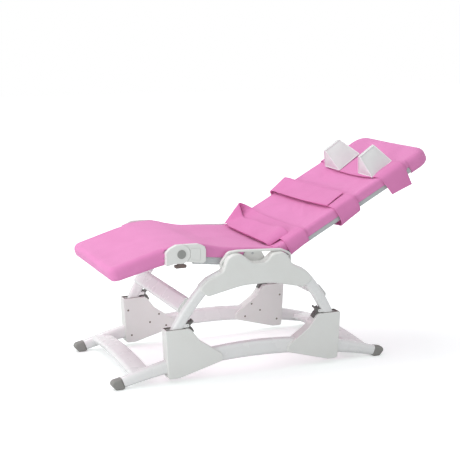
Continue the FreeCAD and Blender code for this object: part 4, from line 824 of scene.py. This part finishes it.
# Hip strap: from under the back up round the near tube, across the cloth, over in a standing loop at the far
# tube, and back across on top of itself to a puffed end that is turned under beside the near tube.
hip_round = [
    ((0.030, 0.02, -0.054), (0.117, 0.02, -0.050)), ((0.030, -0.12, -0.057), (0.117, -0.12, -0.052)),
    ((0.030, -0.205, -0.059), (0.117, -0.205, -0.053)), ((0.031, -0.240, -0.052), (0.118, -0.240, -0.046)),
    ((0.032, -0.2475, -0.034), (0.118, -0.2475, -0.030)), ((0.032, -0.247, -0.013), (0.119, -0.247, -0.012)),
    ((0.033, -0.240, 0.0000), (0.119, -0.240, 0.0005)), ((0.034, -0.222, 0.0045), (0.119, -0.222, 0.0040)),
    ((0.037, -0.16, 0.0035), (0.118, -0.16, 0.0010)), ((0.038, -0.04, 0.0015), (0.117, -0.04, -0.0020)),
    ((0.037, 0.08, 0.0020), (0.115, 0.08, 0.0005)), ((0.034, 0.165, 0.0045), (0.114, 0.150, 0.0060)),
    ((0.024, 0.212, 0.0075), (0.111, 0.190, 0.0200)), ((0.008, 0.226, 0.0085), (0.097, 0.205, 0.0420)),
    ((-0.004, 0.226, 0.0100), (0.081, 0.206, 0.0560)), ((-0.004, 0.217, 0.0130), (0.070, 0.190, 0.0360)),
    ((-0.003, 0.206, 0.0145), (0.0605, 0.172, 0.0150)), ((-0.007, 0.192, 0.0135), (0.057, 0.158, 0.0138)),
    ((-0.011, 0.10, 0.0125), (0.062, 0.09, 0.0150)), ((-0.011, -0.02, 0.0120), (0.068, -0.03, 0.0130)),
    ((-0.013, -0.110, 0.0140), (0.071, -0.095, 0.0160)), ((-0.015, -0.150, 0.0165), (0.073, -0.135, 0.0225)),
    ((-0.016, -0.180, 0.0175), (0.074, -0.163, 0.0265)), ((-0.016, -0.192, 0.0150), (0.074, -0.178, 0.0240)),
    ((-0.0145, -0.1985, 0.0085), (0.073, -0.198, 0.012)), ((-0.013, -0.199, 0.0055), (0.0725, -0.205, 0.006)),
    ((-0.012, -0.190, 0.0048), (0.072, -0.192, 0.0052)), ((-0.011, -0.165, 0.0055), (0.071, -0.160, 0.0060))]
hip_loop, hip_length = strap_piece("hip_strap_loop", hip_round, hip_wide, strap_cloth, thick=0.0034)
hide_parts("hip_strap")
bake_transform(hip_loop)

# Head strap: a wider strap that carries the head blocks. It goes from under the far side up over the back,
# and its near end hangs down past the tube.
head_strap_cloth = woven("head_strap_webbing", strap_color, deep_pink, strap_threads,
                         stitches=[("Y", strap_hem), ("Y", head_wide - strap_hem)])
head_round = [
    ((0.470, 0.12, -0.063), (0.566, 0.12, -0.063)), ((0.472, 0.205, -0.062), (0.566, 0.205, -0.062)),
    ((0.474, 0.240, -0.054), (0.566, 0.240, -0.054)), ((0.476, 0.2475, -0.032), (0.566, 0.2475, -0.032)),
    ((0.477, 0.246, -0.008), (0.566, 0.246, -0.008)), ((0.477, 0.234, 0.0030), (0.566, 0.234, 0.0030)),
    ((0.475, 0.19, 0.0025), (0.566, 0.19, 0.0015)), ((0.456, 0.11, 0.0010), (0.568, 0.11, -0.0010)),
    ((0.452, 0.02, 0.0005), (0.569, 0.02, -0.0025)), ((0.452, -0.10, 0.0020), (0.571, -0.10, 0.0000)),
    ((0.459, -0.20, 0.0045), (0.575, -0.20, 0.0040)), ((0.466, -0.228, 0.0040), (0.577, -0.230, 0.0035)),
    ((0.470, -0.243, -0.006), (0.577, -0.2435, -0.006)), ((0.475, -0.2480, -0.028), (0.576, -0.2480, -0.030)),
    ((0.479, -0.25, -0.052), (0.574, -0.25, -0.058)), ((0.483, -0.252, -0.077), (0.572, -0.252, -0.087))]
head_loop, head_length = strap_piece("head_strap_loop", head_round, head_wide, head_strap_cloth, thick=0.0032)
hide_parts("head_strap")
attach(head_loop, "back")

# Head blocks: foam wedges in fine white knit, with a welt along every edge coloured brighter than the knit as
# a painted highlight, held on the head strap.
knit = woven("white_knit", (0.84, 0.84, 0.83), (0.68, 0.68, 0.68), 900, sheen=0.1)
# The welt is coloured brighter than the knit: a painted highlight along the edges of the blocks.
welt = coated("welt", color=(0.90, 0.90, 0.895), grime=(0.7, 0.7, 0.68), share=0.1, rough=0.45, spread=0.1,
              grain_size=2000, ripple_size=200, bump=0.1)
block_bottom, block_height = 0.0046, 0.0755
block_edge, block_puff, puff_reach = 0.003, 0.0035, 0.03
flat_base, long_edge = 0.006, 0.02
welt_radius = 0.0019


def head_block(name, base, ridge, node):
    """Foam wedge. base and ridge are its corners as (u, y): foot side near, foot side far, head side far,
    head side near."""
    block = bmesh.new()
    low = [block.verts.new((u, y, block_bottom)) for u, y in base]
    block.faces.new(low)
    roof = bmesh.ops.extrude_edge_only(block, edges=list(block.edges))["geom"]
    top = [part for part in roof if isinstance(part, bmesh.types.BMVert)]
    for vert, (u, y) in zip(low, ridge):
        above = min(top, key=lambda other: (other.co - vert.co).length)
        above.co = (u, y, block_bottom + block_height)
    bmesh.ops.holes_fill(block, edges=block.edges, sides=4)
    bmesh.ops.recalc_face_normals(block, faces=block.faces)
    seams = [(edge.verts[0].co.copy(), edge.verts[1].co.copy()) for edge in block.edges]

    # The foam puffs its faces out between the welts, except the flat base.
    bmesh.ops.bevel(block, geom=block.edges, offset=block_edge, offset_type="OFFSET", segments=2, profile=0.5,
                    affect="EDGES", clamp_overlap=True, material=-1)
    long_edges = [edge for edge in block.edges if edge.calc_length() > long_edge]
    bmesh.ops.subdivide_edges(block, edges=long_edges, cuts=11, use_grid_fill=True)
    middle = sum((vert.co for vert in block.verts), Vector()) / len(block.verts)
    for vert in block.verts:
        seam_distances = [(vert.co - start).cross(vert.co - end).length / (start - end).length
                          for start, end in seams]
        puff = block_puff * eased(min(seam_distances), 0.0, puff_reach) * (vert.co.z > flat_base)
        vert.co += (vert.co - middle).normalized() * puff
    flat_uv = block.loops.layers.uv.new("cloth")
    for face in block.faces:
        face.smooth = True
        for corner in face.loops:
            corner[flat_uv].uv = (corner.vert.co.x, corner.vert.co.y + corner.vert.co.z)
    for vert in block.verts:
        vert.co = on_back(*vert.co)
    mesh = bpy.data.meshes.new(name)
    block.to_mesh(mesh)
    block.free()
    piece = bpy.data.objects.new(name, mesh)
    bpy.context.scene.collection.objects.link(piece)
    mesh.materials.append(knit)
    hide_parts(node)
    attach(piece, "back")
    cord = bpy.data.curves.new(name + "_welt", "CURVE")
    cord.dimensions = "3D"
    cord.bevel_depth = welt_radius
    cord.bevel_resolution = 2
    for start, end in seams:
        line = cord.splines.new("POLY")
        line.points.add(1)
        line.points[0].co = (*on_back(*start), 1)
        line.points[1].co = (*on_back(*end), 1)
    edging = bpy.data.objects.new(name + "_welt", cord)
    bpy.context.scene.collection.objects.link(edging)
    cord.materials.append(welt)
    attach(edging, "back")


head_block("head_block_far", base=[(0.453, 0.038), (0.456, 0.158), (0.572, 0.176), (0.570, 0.066)],
           ridge=[(0.461, 0.100), (0.461, 0.112), (0.5415, 0.131), (0.5415, 0.119)], node="head_block_right")
head_block("head_block_near", base=[(0.460, -0.205), (0.465, -0.0935), (0.573, -0.075), (0.570, -0.178)],
           ridge=[(0.471, -0.157), (0.471, -0.145), (0.550, -0.125), (0.550, -0.137)], node="head_block_left")
